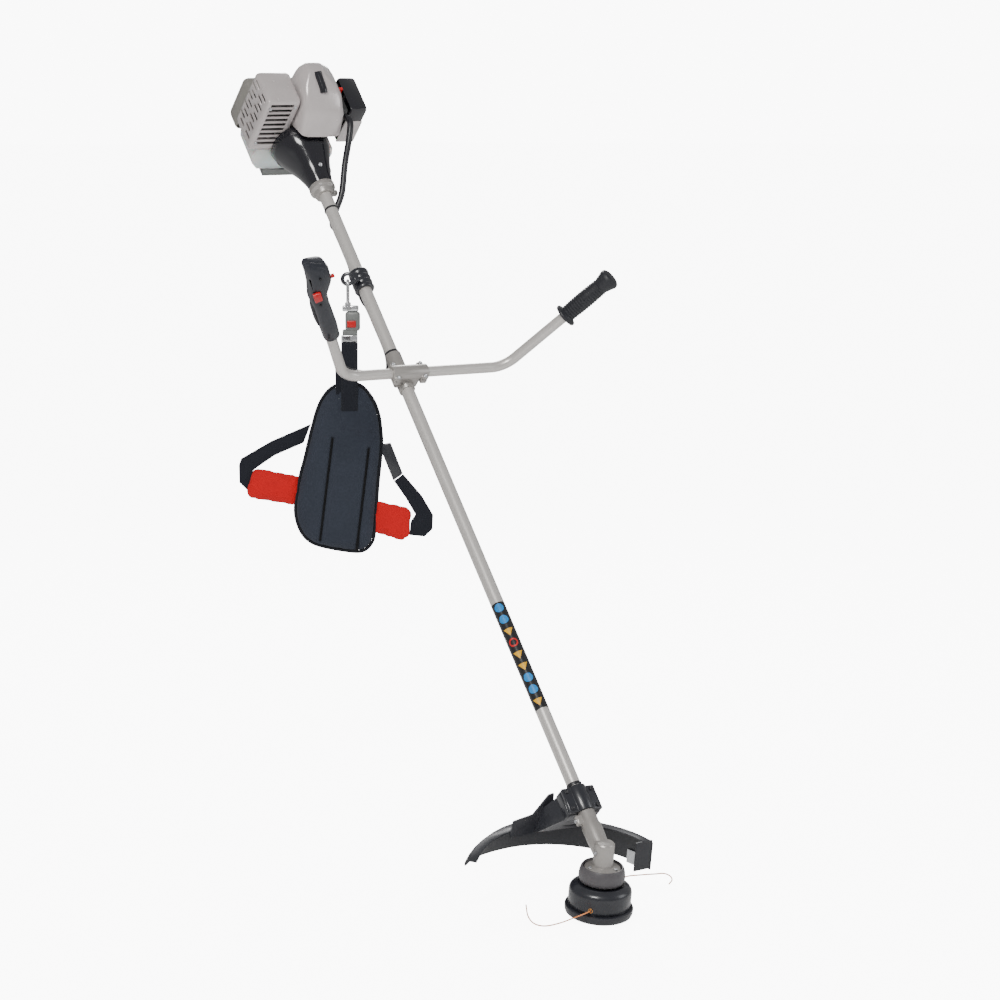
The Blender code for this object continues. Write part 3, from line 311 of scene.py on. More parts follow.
def keep(name, bm, place, finish, body, stands_for=(), crease=35):
    """Makes a finished piece of a mesh: closed, facing out, in place and riding on its body."""
    bmesh.ops.remove_doubles(bm, verts=bm.verts, dist=1e-6)
    bmesh.ops.recalc_face_normals(bm, faces=bm.faces)
    mesh = bpy.data.meshes.new(name)
    bm.to_mesh(mesh)
    bm.free()
    mesh.transform(place)
    mesh.shade_smooth()
    mesh.set_sharp_from_angle(angle=math.radians(crease))
    mesh.materials.append(finish.material)
    made = bpy.data.objects.new(name, mesh)
    scene.collection.objects.link(made)
    if body:
        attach(made, body)
    if stands_for:
        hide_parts(*stands_for)
    return made


def settled(piece):
    """Applies the modifiers of a piece to its mesh."""
    graph = bpy.context.evaluated_depsgraph_get()
    mesh = bpy.data.meshes.new_from_object(piece.evaluated_get(graph))
    piece.modifiers.clear()
    piece.data = mesh
    return piece


def eased(piece, edge):
    """Rounds the sharp edges of a piece."""
    bevel = piece.modifiers.new("eased_edges", "BEVEL")
    bevel.width = edge
    bevel.segments = 2
    bevel.limit_method = "ANGLE"
    bevel.angle_limit = math.radians(40)
    bevel.harden_normals = False
    return settled(piece)


def dressed(node, name, finish, edge=0.0006, crease=35):
    """A smoothly shaded copy of a CAD node, with its edges eased, that stands for the node."""
    source = frame["nodes"][node]
    bm = bmesh.new()
    bm.from_mesh(source.data)
    bmesh.ops.remove_doubles(bm, verts=bm.verts, dist=1e-5)
    flat = math.radians(0.5)
    bmesh.ops.dissolve_limit(bm, angle_limit=flat, verts=bm.verts, edges=bm.edges)
    piece = keep(name, bm, Matrix(), finish, source["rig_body"], (node,), crease)
    if edge:
        eased(piece, edge)
        piece.data.shade_smooth()
        piece.data.set_sharp_from_angle(angle=math.radians(crease))
    return piece


def lathe(profile, steps=96):
    """A turned mesh from (radius, height) points; it closes on the axis or on itself."""
    bm = bmesh.new()
    verts = [bm.verts.new((r, 0, z)) for r, z in profile]
    edges = [bm.edges.new(pair) for pair in zip(verts, verts[1:])]
    if profile[0][0] > 0:
        edges.append(bm.edges.new((verts[-1], verts[0])))
    bmesh.ops.spin(
        bm,
        geom=verts + edges,
        cent=(0, 0, 0),
        axis=(0, 0, 1),
        angle=2 * math.pi,
        steps=steps,
        use_merge=True,
    )
    return bm


def moulded(name, colour, roughness, grain=700, depth=0.00004, sockets=()):
    """Moulded plastic: a fine sparked skin, a little cloudiness and some handling marks."""
    skin = Finish(name, colour, roughness, sockets)
    here = skin.spot()
    cloud = skin.grain(here, 14, 3)
    marks = skin.grain(here, 55, 6)
    dark = (*[0.86 * c for c in colour], 1)
    light = (*[min(1, 1.14 * c + 0.002) for c in colour], 1)
    skin.set(
        {
            "Base Color": skin.mix(dark, light, cloud),
            "Roughness": roughness + (marks - 0.5) * 0.18,
            "Normal": skin.bump(skin.grain(here, grain, 2), depth),
        }
    )
    return skin


head_black = moulded("head_black", (0.016, 0.017, 0.023), 0.30, sockets={"Coat Weight": 0.25})
housing_profile = [
    (0.0053, -0.0500), (0.0300, -0.0500), (0.0315, -0.0505), (0.0325, -0.0518), (0.0400, -0.0520),
    (0.0412, -0.0510), (0.0430, -0.0510), (0.0445, -0.0522), (0.0500, -0.0548), (0.0535, -0.0578),
    (0.0556, -0.0612), (0.0564, -0.0650), (0.0564, -0.0915), (0.0558, -0.0924), (0.0540, -0.0925),
    (0.0540, -0.0665), (0.0510, -0.0605), (0.0440, -0.0555), (0.0053, -0.0555),
]
spool_cup = lathe(housing_profile)
keep("spool_cup", spool_cup, HEAD, head_black, "cutting_head", ("spool_housing",))
rim_profile = [
    (0.0225, -0.1098), (0.0300, -0.1098), (0.0310, -0.1090), (0.0500, -0.1090), (0.0512, -0.1098),
    (0.0565, -0.1096), (0.0596, -0.1075), (0.0610, -0.1040), (0.0616, -0.0990), (0.0616, -0.0955),
    (0.0608, -0.0938), (0.0590, -0.0930), (0.0225, -0.0930),
]
keep("spool_rim", lathe(rim_profile), HEAD, head_black, "cutting_head", ("head_cover",))
knob_profile = [
    (0, -0.0878), (0.0220, -0.0878), (0.0220, -0.0918), (0.0205, -0.0926), (0.0200, -0.0935),
    (0.0200, -0.1160), (0.0193, -0.1182), (0.0178, -0.1194), (0.0165, -0.1195), (0, -0.1195),
]
knob_black = moulded("knob_black", (0.020, 0.020, 0.024), 0.42, 500, 0.00006)
keep("bump_button", lathe(knob_profile), HEAD, knob_black, "bump_set", ("bump_knob",))


def fastened(name, spots, radius, finish, body):
    """Cap screws, each a domed head with a driver recess, set by a node tree on (place, outward) pairs."""
    head = lathe(
        [(0, 0.25), (0.42, 0.25), (0.50, 0.55), (0.82, 0.55), (1.0, 0.32), (1.0, -0.1), (0, -0.1)], 12
    )
    stamp_mesh = bpy.data.meshes.new(name + "_stamp")
    head.to_mesh(stamp_mesh)
    head.free()
    stamp_mesh.shade_smooth()
    stamp = bpy.data.objects.new(name + "_stamp", stamp_mesh)
    places = bpy.data.meshes.new(name)
    places.from_pydata([tuple(spot) for spot, out in spots], [], [])
    facing = places.attributes.new("facing", "FLOAT_VECTOR", "POINT")
    facing.data.foreach_set("vector", [c for spot, out in spots for c in Vector(out).normalized()])
    piece = bpy.data.objects.new(name, places)
    scene.collection.objects.link(piece)
    tree = bpy.data.node_groups.new(name, "GeometryNodeTree")
    tree.interface.new_socket("Points", in_out="INPUT", socket_type="NodeSocketGeometry")
    size = tree.interface.new_socket("Screw radius", in_out="INPUT", socket_type="NodeSocketFloat")
    tree.interface.new_socket("Screws", in_out="OUTPUT", socket_type="NodeSocketGeometry")
    into = tree.nodes.new("NodeGroupInput")
    shape = tree.nodes.new("GeometryNodeObjectInfo")
    shape.inputs["Object"].default_value = stamp
    facing = tree.nodes.new("GeometryNodeInputNamedAttribute")
    facing.data_type = "FLOAT_VECTOR"
    facing.inputs["Name"].default_value = "facing"
    turn = tree.nodes.new("FunctionNodeAlignRotationToVector")
    turn.axis = "Z"
    copies = tree.nodes.new("GeometryNodeInstanceOnPoints")
    solid = tree.nodes.new("GeometryNodeRealizeInstances")
    painted = tree.nodes.new("GeometryNodeSetMaterial")
    painted.inputs["Material"].default_value = finish.material
    out = tree.nodes.new("NodeGroupOutput")
    tree.links.new(facing.outputs[0], turn.inputs["Vector"])
    tree.links.new(into.outputs["Points"], copies.inputs["Points"])
    tree.links.new(shape.outputs["Geometry"], copies.inputs["Instance"])
    tree.links.new(turn.outputs[0], copies.inputs["Rotation"])
    tree.links.new(into.outputs["Screw radius"], copies.inputs["Scale"])
    tree.links.new(copies.outputs[0], solid.inputs[0])
    tree.links.new(solid.outputs[0], painted.inputs["Geometry"])
    tree.links.new(painted.outputs[0], out.inputs[0])
    modifier = piece.modifiers.new("screws", "NODES")
    modifier.node_group = tree
    modifier[size.identifier] = radius
    settled(piece)
    bpy.data.objects.remove(stamp)
    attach(piece, body)
    return piece


brass = Finish("eyelet_brass", (0.72, 0.36, 0.12), 0.3, {"Metallic": 0.9})
brass.set({"Roughness": 0.28 + brass.grain(brass.spot(), 400) * 0.15})
for side, turn in (("left", math.radians(222)), ("right", math.radians(42))):
    out = Matrix.Rotation(turn, 4, "Z") @ Matrix.Rotation(math.pi / 2, 4, "Y")
    at = HEAD @ Matrix.Translation((0, 0, LINE_HEIGHT)) @ out
    ring = [(0.0029, 0.0538), (0.0029, 0.0570), (0.0034, 0.0576)]
    ring += [(0.0042, 0.0574), (0.0046, 0.0560), (0.0030, 0.0545)]
    keep(f"eyelet_{side}", lathe(ring, 32), at, brass, "cutting_head")
steel = Finish("bright_steel", (0.60, 0.61, 0.63), 0.25, {"Metallic": 1.0})
steel_scratch = steel.grain(steel.spot((1, 1, 8)), 220, 6)
steel.set({"Roughness": 0.20 + steel_scratch * 0.2, "Normal": steel.bump(steel_scratch, 0.00002)})
spool_grey = moulded("spool_grey", (0.09, 0.09, 0.10), 0.5)
dressed("spool", "line_spool", spool_grey)
coil = dressed("spool_spring", "coil_spring", steel, 0)
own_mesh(coil)
dressed("output_shaft", "output_spindle", steel, 0.0004)
dressed("bevel_wheel", "crown_gear", steel, 0.0002, 25)
cup_grey = moulded("cup_grey", (0.085, 0.080, 0.086), 0.42, 500, 0.00005)
cup_profile = [
    (0.0065, -0.0345), (0.0330, -0.0345), (0.0350, -0.0195), (0.0354, -0.0186), (0.0366, -0.0184),
    (0.0388, -0.0215), (0.0410, -0.0285), (0.0417, -0.0345), (0.0417, -0.0400), (0.0408, -0.0440),
    (0.0390, -0.0470), (0.0380, -0.0475), (0.0352, -0.0475), (0.0368, -0.0435), (0.0372, -0.0385),
    (0.0065, -0.0365),
]
keep("grass_cup", lathe(cup_profile), HEAD, cup_grey, "machine", ("dust_cover",))

# ---------------------------------------------------------------- gear case
# A die-cast aluminium elbow holds the bevel gears. Its socket is split and pinched on the tube by
# one screw, and a plug on its side is where grease goes in.

SHAFT_ANGLE = math.radians(46)
SHAFT = Matrix.Translation(GEARS) @ Matrix.Rotation(SHAFT_ANGLE, 4, "X")
AXIS = SHAFT @ Matrix.Rotation(-math.pi / 2, 4, "X")
SAND_DEPTH = 0.00012


def cast_metal(name, colour, roughness):
    """Sand-textured die casting under a thin silver coat."""
    skin = Finish(name, colour, roughness, {"Metallic": 0.55})
    here = skin.spot()
    fine = skin.grain(here, 650, 5)
    cloud = skin.grain(here, 30, 4)
    dark = (*[0.74 * c for c in colour], 1)
    light = (*[min(1, 1.12 * c) for c in colour], 1)
    skin.set(
        {
            "Base Color": skin.mix(dark, light, cloud),
            "Roughness": roughness + (fine - 0.5) * 0.25,
            "Normal": skin.bump(fine, SAND_DEPTH),
        }
    )
    return skin


cast = cast_metal("cast_aluminium", (0.42, 0.40, 0.38), 0.38)
dressed("gear_case", "gear_elbow", cast, 0.0009)
dressed("bevel_pinion", "drive_gear", steel, 0.0002, 25)
dressed("drive_shaft", "drive_rod", steel, 0)
case_screws = [(AXIS @ Vector((-0.0262, 0.0, 0.075)), AXIS.to_3x3() @ Vector((-1, 0, 0)))]
for turn in (60, 180, 300):
    r = math.radians(turn)
    spot = Vector((0.0262 * math.cos(r), 0.0262 * math.sin(r), -0.0198))
    case_screws.append((HEAD @ spot, HEAD.to_3x3() @ Vector((0.1 * math.cos(r), 0.1 * math.sin(r), 1))))
case_screws.append((HEAD @ Vector((-0.0184, -0.002, 0.008)), HEAD.to_3x3() @ Vector((-1, 0, 0))))
fastened("gear_case_screws", case_screws, 0.0036, steel, "machine")

# ---------------------------------------------------------------- guard
# A moulded black skirt round the back of the head, held on the tube by a bracket and a bolted cap,
# with a steel blade near its right end that trims the line to length.

guard_black = moulded("guard_black", (0.020, 0.021, 0.027), 0.36, 420, 0.00008)
dressed("guard_shell", "guard_skirt", guard_black, 0.0008, 30)
dressed("guard_bracket", "guard_foot", head_black, 0.0008)
dressed("guard_clamp_cap", "guard_strap", head_black, 0.0008)
dressed("line_cutter_blade", "line_knife", steel, 0.0003)
bolts = []
for x in (-0.0265, 0.0265):
    for s in (0.097, 0.131):
        bolts.append((SHAFT @ Vector((x, s, 0.0086)), SHAFT.to_3x3() @ Vector((0, 0, 1))))
fastened("guard_bolts", bolts, 0.0042, knob_black, "machine")

# ---------------------------------------------------------------- shaft tube
# A straight aluminium tube, 26 mm across, painted satin silver, with three thin black rings and a
# dark band of plain coloured marks above the guard.

TUBE_R = 0.013
paint = Finish("satin_silver", (0.60, 0.575, 0.55), 0.28, {"Metallic": 0.45, "Coat Weight": 0.15})
along_tube = paint.grain(paint.spot((1, 1, 1)), 300, 5)
paint_cloud = paint.grain(paint.spot(), 9, 3)
paint.set(
    {
        "Base Color": paint.mix((0.57, 0.545, 0.52, 1), (0.67, 0.645, 0.62, 1), paint_cloud),
        "Roughness": 0.28 + along_tube * 0.14,
        "Normal": paint.bump(along_tube, 0.00003),
    }
)
tube_profile = [(0.0115, 0.0520), (TUBE_R, 0.0520), (TUBE_R, 1.5720), (0.0115, 1.5720)]
keep("main_tube", lathe(tube_profile, 64), AXIS, paint, "machine", ("shaft_tube",))
ring_black = moulded("ring_black", (0.012, 0.012, 0.015), 0.4)
for place, width in ((1.137, 0.006), (1.511, 0.004), (0.1445, 0.006)):
    ring = [(0.01302, -width / 2), (0.0141, -width / 2), (0.0144, 0)]
    ring += [(0.0141, width / 2), (0.01302, width / 2)]
    at = AXIS @ Matrix.Translation((0, 0, place))
    keep(f"tube_ring_{round(place * 1000)}", lathe(ring, 64), at, ring_black, "machine")

band_black = moulded("band_black", (0.012, 0.012, 0.014), 0.3, 300, 0.00001)
band = [(0.01301, 0.306), (0.01316, 0.3062), (0.01316, 0.5388), (0.01301, 0.539)]
keep("mark_band", lathe(band, 64), AXIS, band_black, "machine")
MARK_FACING = math.radians(-124)
mark_colours = {
    "blue": moulded("mark_blue", (0.01, 0.24, 0.62), 0.35, 300, 0.00001),
    "yellow": moulded("mark_yellow", (0.80, 0.42, 0.01), 0.35, 300, 0.00001),
    "red": moulded("mark_red", (0.60, 0.01, 0.01), 0.35, 300, 0.00001),
    "white": moulded("mark_white", (0.80, 0.80, 0.78), 0.35, 300, 0.00001),
}
marks = ("blue", "blue", "yellow", "red", "yellow", "yellow", "blue", "blue", "yellow")
for number, colour in enumerate(marks):
    middle = 0.5270 - 0.0257 * number
    corners = 3 if colour == "yellow" else 24
    size = 0.0105 if corners == 3 else 0.0090
    bm = bmesh.new()
    bmesh.ops.create_circle(bm, cap_ends=True, radius=size, segments=corners)
    bmesh.ops.rotate(bm, verts=bm.verts, matrix=Matrix.Rotation(math.pi, 3, "Z"))
    if colour == "red":
        bmesh.ops.inset_region(bm, faces=bm.faces[:], thickness=0.0030, use_boundary=True)
        inner = min(bm.faces, key=lambda f: max(v.co.length for v in f.verts))
        bmesh.ops.delete(bm, geom=[inner], context="FACES")
    bmesh.ops.triangulate(bm, faces=bm.faces[:])
    for _ in range(3):
        bmesh.ops.subdivide_edges(bm, edges=bm.edges[:], cuts=1, use_grid_fill=True)
    grown = bmesh.ops.extrude_face_region(bm, geom=bm.faces[:])["geom"]
    outer = {v for v in grown if isinstance(v, bmesh.types.BMVert)}
    for v in bm.verts:
        turn = MARK_FACING + v.co.x / TUBE_R
        reach = 0.01330 if v in outer else 0.01305
        v.co = (reach * math.cos(turn), reach * math.sin(turn), middle + v.co.y)
    keep(f"mark_{number}", bm, AXIS, mark_colours[colour], "machine", crease=60)

# ---------------------------------------------------------------- handlebar
# One bent tube, 21 mm across, crosses over the shaft in a two-piece cast clamp. Its left arm carries
# the controls and its right arm ends in a ribbed rubber grip.

BAR = SHAFT @ Matrix.Translation((0, 1.0696, 0.0272)) @ Matrix.Rotation(math.radians(-6), 4, "X")
BAR_R = 0.0105
BAR_BEND = 0.055
RIGHT_CORNER, LEFT_CORNER = 0.215, -0.141
RIGHT_RISE, LEFT_RISE = math.radians(57), math.radians(61)
RIGHT_ARM, LEFT_ARM = 0.281, 0.250
GRIP_FROM, HANDLE_FROM = 0.160, 0.126


def swept(points, radius, sides=16, widths=None):
    """A closed mesh of a round rod along the points."""
    points = [Vector(p) for p in points]
    widths = widths or [1] * len(points)
    bm = bmesh.new()
    along = (points[1] - points[0]).normalized()
    across = along.orthogonal().normalized()
    rings = []
    for i, spot in enumerate(points):
        ahead = (points[min(i + 1, len(points) - 1)] - points[max(i - 1, 0)]).normalized()
        across = (along.rotation_difference(ahead) @ across).normalized()
        along = ahead
        other = along.cross(across)
        turns = [2 * math.pi * k / sides for k in range(sides)]
        reach = radius * widths[i]
        spokes = [math.cos(t) * across + math.sin(t) * other for t in turns]
        rings.append([bm.verts.new(spot + reach * spoke) for spoke in spokes])
    for ring, after in zip(rings, rings[1:]):
        for k in range(sides):
            bm.faces.new((ring[k], ring[(k + 1) % sides], after[(k + 1) % sides], after[k]))
    bm.faces.new(rings[0][::-1])
    bm.faces.new(rings[-1])
    return bm


def arm_end(corner, side, rise, arm):
    """Points of the bar from the middle of a bend to the end of its arm."""
    back = BAR_BEND * math.tan(rise / 2)
    bend = []
    for k in range(17):
        angle = rise * k / 16
        across = corner - side * back + side * BAR_BEND * math.sin(angle)
        bend.append(Vector((across, 0, BAR_BEND * (1 - math.cos(angle)))))
    end = Vector((corner + side * arm * math.cos(rise), 0, arm * math.sin(rise)))
    return [*bend, end]


right_half = arm_end(RIGHT_CORNER, 1, RIGHT_RISE, RIGHT_ARM)
left_half = arm_end(LEFT_CORNER, -1, LEFT_RISE, LEFT_ARM)
bent_bar = swept([*left_half[::-1], *right_half], BAR_R, 48)
keep("bent_bar", bent_bar, BAR, paint, "machine", ("handlebar",))
dressed("bar_clamp_base", "clamp_saddle", cast, 0.0010)
dressed("bar_clamp_cap", "clamp_bridge", cast, 0.0010)
clamp_bolts = []
for x in (-0.0295, 0.0295):
    for s in (1.0535, 1.0857):
        clamp_bolts.append((SHAFT @ Vector((x, s, 0.0348)), SHAFT.to_3x3() @ Vector((0, 0, 1))))
black_steel = Finish("black_steel", (0.03, 0.03, 0.033), 0.35, {"Metallic": 0.7})
black_steel.set({"Roughness": 0.30 + black_steel.grain(black_steel.spot(), 300, 5) * 0.2})
fastened("clamp_bolts", clamp_bolts, 0.0042, steel, "machine")

grip_foot = (RIGHT_CORNER + GRIP_FROM * math.cos(RIGHT_RISE), 0, GRIP_FROM * math.sin(RIGHT_RISE))
GRIP = BAR @ Matrix.Translation(grip_foot) @ Matrix.Rotation(math.pi / 2 - RIGHT_RISE, 4, "Y")
grip_rubber = moulded("grip_rubber", (0.014, 0.015, 0.020), 0.50, 600, 0.00008)
bore = BAR_R + 0.0003
barrel = [(bore, 0.0), (0.0232, 0.0), (0.0242, 0.0012), (0.0245, 0.0028)]
barrel += [(0.0236, 0.0050), (0.0170, 0.0080)]
RIB = 0.0056
for k in range(15):
    foot = 0.0100 + RIB * k
    swell = 0.0153 + 0.0012 * math.sin(math.pi * (k + 0.5) / 15)
    crest = swell + 0.0011
    barrel += [(swell, foot), (crest, foot + 0.0012), (crest, foot + 0.0036), (swell, foot + 0.0048)]
barrel += [(0.0170, 0.0980), (0.0190, 0.1060), (0.0214, 0.1130), (0.0215, 0.1165), (0.0200, 0.1205)]
barrel += [(0.0150, 0.1234), (0.0100, 0.1240), (0, 0.1240), (0, 0.1220), (bore, 0.1220)]
grip_mesh = lathe(barrel, 64)
keep("ribbed_grip", grip_mesh, GRIP, grip_rubber, "machine", ("plain_grip",))

# ---------------------------------------------------------------- controls
# The control handle is two moulded shells screwed together round the bar. Its red stop switch is in
# front, the throttle trigger is behind it and a red button locks the trigger half open.

handle_foot = (LEFT_CORNER - HANDLE_FROM * math.cos(LEFT_RISE), 0, HANDLE_FROM * math.sin(LEFT_RISE))
CONTROL = BAR @ Matrix.Translation(handle_foot) @ Matrix.Rotation(LEFT_RISE - math.pi / 2, 4, "Y")
handle_grey = moulded("handle_grey", (0.014, 0.016, 0.024), 0.40, 450, 0.00008)
lever_black = moulded("lever_black", (0.016, 0.016, 0.020), 0.38)
signal_red = moulded("signal_red", (0.55, 0.003, 0.006), 0.32, 400, 0.00003)
dressed("handle_shell_front", "front_shell", handle_grey, 0.0010, 50)
dressed("handle_shell_rear", "rear_shell", handle_grey, 0.0010, 50)
dressed("throttle_trigger", "trigger_blade", lever_black, 0.0010)
dressed("trigger_lockout", "lockout_bar", lever_black, 0.0008)
dressed("stop_switch", "stop_rocker", signal_red, 0.0012)
dressed("half_throttle_button", "lock_button", signal_red, 0.0010)
shell_screws = []
for across, along in ((-0.0060, 0.0260), (0.0110, 0.1980), (-0.0020, 0.1240)):
    spot = CONTROL @ Vector((across, -0.0182 if along < 0.15 else -0.0226, along))
    shell_screws.append((spot, CONTROL.to_3x3() @ Vector((0, -1, 0))))
fastened("shell_screws", shell_screws, 0.0026, black_steel, "machine")

CABLE_ON_BAR = (
    (-0.2016, 0.0155, 0.1080), (-0.1820, 0.0158, 0.0720), (-0.1560, 0.0160, 0.0300),
    (-0.1250, 0.0160, 0.0040),
)
CABLE_ON_SHAFT = (
    (-0.0900, 1.0900, 0.0130), (-0.0640, 1.0960, 0.0010), (-0.0400, 1.1010, -0.0070),
    (-0.0210, 1.1080, -0.0185), (-0.0060, 1.1250, -0.0225), (0.0000, 1.1600, -0.0190),
    (0.0000, 1.2200, -0.0180), (0.0000, 1.2700, -0.0190), (0.0000, 1.2950, -0.0250),
    (0.0000, 1.3550, -0.0250), (0.0000, 1.3800, -0.0190), (0.0000, 1.4300, -0.0180),
)
CABLE_SLEEVE = (
    (0.0040, 1.4900, -0.0225), (0.0160, 1.5160, -0.0170), (0.0320, 1.5420, 0.0010),
    (0.0390, 1.5600, 0.0130), (0.0490, 1.6000, 0.0400), (0.0610, 1.6400, 0.0740),
    (0.0680, 1.6700, 0.0890), (0.0680, 1.6930, 0.0790),
)
CABLE_R = 0.0034
to_shaft = SHAFT.inverted() @ BAR
cable_route = [to_shaft @ Vector(p) for p in CABLE_ON_BAR]
cable_route += [Vector(p) for p in CABLE_ON_SHAFT + CABLE_SLEEVE]
cable_route = smooth_route(cable_route, 240)
cable_widths = []
for spot in cable_route:
    thick = min(1, max(0, (spot.y - 1.478) / 0.008))
    cable_widths.append(1 + 0.92 * thick)
cable_black = moulded("cable_black", (0.012, 0.012, 0.016), 0.36, 500, 0.00003)
keep(
    "control_cable",
    swept(cable_route, CABLE_R, 20, cable_widths),
    SHAFT,
    cable_black,
    "machine",
    ("throttle_cable",),
)

# ---------------------------------------------------------------- harness hardware
# A black hanger clamped to the shaft holds a steel snap hook. Under the hook hangs a quick release
# with a red button and a red pull tab.

HANG = Matrix.Translation((-0.038, 0.885356, 1.077233)) @ Matrix.Rotation(math.radians(-30), 4, "Z")
dressed("hanger_clamp", "shaft_hanger", head_black, 0.0008)
chrome = Finish("chrome", (0.80, 0.81, 0.83), 0.12, {"Metallic": 1.0})
chrome.set({"Roughness": 0.08 + chrome.grain(chrome.spot(), 300, 5) * 0.14})
hook_route = []
for k in range(21):
    angle = math.pi * k / 20
    hook_route.append((0, 0.0073 * math.cos(angle), -0.0105 + 0.0073 * math.sin(angle)))
for k in range(21):
    angle = math.pi * k / 20
    hook_route.append((0, -0.0073 * math.cos(angle), -0.0420 - 0.0073 * math.sin(angle)))
hook_route.append(hook_route[0])
keep("hook_wire", swept(hook_route, 0.0030, 20), HANG, chrome, "harness", ("snap_hook",))
swivel = [(0, -0.0460), (0.0048, -0.0462), (0.0060, -0.0475), (0.0060, -0.0530), (0.0072, -0.0545)]
swivel += [(0.0072, -0.0600), (0.0060, -0.0612), (0, -0.0612)]
keep("hook_swivel", lathe(swivel, 40), HANG, chrome, "harness")


def cushion_box(name, low, high, place, finish, body, slot, edge):
    """A box with rounded edges."""
    bm = bmesh.new()
    bmesh.ops.create_cube(bm, size=1)
    low, high = Vector(low), Vector(high)
    for v in bm.verts:
        v.co = (low + high) / 2 + Vector([v.co[i] * (high[i] - low[i]) for i in range(3)])
    bmesh.ops.bevel(bm, geom=bm.edges[:], offset=edge, segments=3, profile=0.5, affect="EDGES")
    return keep(name, bm, place, finish, body)


spots = ((-0.0112, -0.0048, -0.0642), (0.0212, 0.0048, -0.0522))
cushion_box("hook_bar", *spots, HANG, chrome, "harness", "steel", 0.0030)
release_grey = moulded("release_grey", (0.16, 0.17, 0.165), 0.38, 500, 0.00005)
dressed("quick_release", "release_body", release_grey, 0.0010)
spots = ((-0.0016, -0.0102, -0.0955), (0.0158, -0.0070, -0.0820))
cushion_box("release_button", *spots, HANG, signal_red, "harness", "red", 0.0014)
spots = ((-0.0134, -0.0092, -0.1265), (0.0190, -0.0062, -0.1110))
cushion_box("strap_buckle", *spots, HANG, chrome, "harness", "steel", 0.0012)
dressed("release_tab", "pull_tab", signal_red, 0.0008)

# ---------------------------------------------------------------- harness straps
# Flat woven straps, 2 to 4 mm thick, sewn with white thread. The shoulder strap runs down over the
# hip pad, and two waist straps leave the pad's corners.

SHOULDER_STRAP = (
    (0.0035, -0.1255), (0.0032, -0.1550), (0.0030, -0.1950), (0.0024, -0.2300), (0.0022, -0.2610),
)
STRAP_HALF = 0.0165


def woven(name, colour, pale, across, pitch=900):
    """Webbing: ribs across the strap, fine threads and a soft sheen."""
    sheen = {"Sheen Weight": 0.05, "Sheen Roughness": 0.5, "Specular IOR Level": 0.25}
    skin = Finish(name, colour, 0.8, sheen)
    here = skin.spot()
    x, y, z = skin.parts(here)
    row = skin.node("ShaderNodeMath", {"operation": "SINE"}, {0: z * pitch * 2})
    width = (x * across + y * (1 - across)) * pitch * 2.6
    column = skin.node("ShaderNodeMath", {"operation": "SINE"}, {0: width})
    thread = row * column * 0.5 + 0.5
    wear = skin.grain(here, 40, 4)
    fuzz = skin.grain(here, 1800, 3)
    skin.set(
        {
            "Base Color": skin.mix((*[0.7 * c for c in colour], 1), pale, thread * 0.4 + wear * 0.35),
            "Roughness": 0.72 + fuzz * 0.2,
            "Normal": skin.bump(thread * 0.7 + fuzz * 0.5, 0.00025),
        }
    )
    return skin


def flat_outline(outline, low, high):
    """A closed mesh between two depths, over an outline given across and up."""
    bm = bmesh.new()
    base = [bm.verts.new((x, low, z)) for x, z in outline]
    face = bm.faces.new(base)
    grown = bmesh.ops.extrude_face_region(bm, geom=[face])["geom"]
    for v in grown:
        if isinstance(v, bmesh.types.BMVert):
            v.co.y = high
    return bm


def smooth_outline(outline, count):
    """A closed outline rounded through its points."""
    loop = [(*p, 0) for p in (outline[-1], *outline, outline[0], outline[1])]
    fine = smooth_route(loop, count)
    start = min(range(len(fine) // 3), key=lambda i: (fine[i] - Vector(loop[1])).length)
    end = max(range(2 * len(fine) // 3, len(fine)), key=lambda i: -(fine[i] - Vector(loop[-2])).length)
    return [(p.x, p.y) for p in fine[start:end]]


webbing = woven("black_webbing", (0.006, 0.007, 0.012), (0.018, 0.020, 0.030, 1), 0.8)


def strap(name, spine, half, depth, thick, stands_for=()):
    """A flat strap along a spine of (across, up) points, with bound edges."""
    spine = [Vector((x, y, 0)) for x, y in spine]
    path = smooth_route(spine, 48)
    bm = bmesh.new()
    section = ((-1, 0), (-0.97, -0.5), (-0.86, -0.5), (-0.84, -0.36), (0, -0.40))
    section += ((0.84, -0.36), (0.86, -0.5), (0.97, -0.5), (1, 0), (0.97, 0.5), (-0.97, 0.5))
    rings = []
    for i, spot in enumerate(path):
        ahead = (path[min(i + 1, len(path) - 1)] - path[max(i - 1, 0)]).normalized()
        side = Vector((-ahead.y, ahead.x, 0))
        ring = []
        for out, up in section:
            at = spot + side * out * half
            ring.append(bm.verts.new((at.x, depth(i / (len(path) - 1)) + up * thick, at.y)))
        rings.append(ring)
    for ring, after in zip(rings, rings[1:]):
        for k in range(len(section)):
            j = (k + 1) % len(section)
            bm.faces.new((ring[k], ring[j], after[j], after[k]))
    bm.faces.new(rings[0][::-1])
    bm.faces.new(rings[-1])
    return keep(name, bm, HANG, webbing, "harness", stands_for, 50)


strap("over_strap", SHOULDER_STRAP, STRAP_HALF, lambda t: -0.0150, 0.0034, ("shoulder_strap",))
under_spine = ((-0.0095, -0.1600), (-0.0090, -0.1950), (-0.0085, -0.2400))
strap("under_strap", under_spine, STRAP_HALF, lambda t: -0.0115, 0.0024)
dressed("waist_strap_left", "waist_web_left", webbing, 0.0008)
dressed("waist_strap_right", "waist_web_right", webbing, 0.0008)
dressed("side_buckle", "side_clasp", head_black, 0.0016)


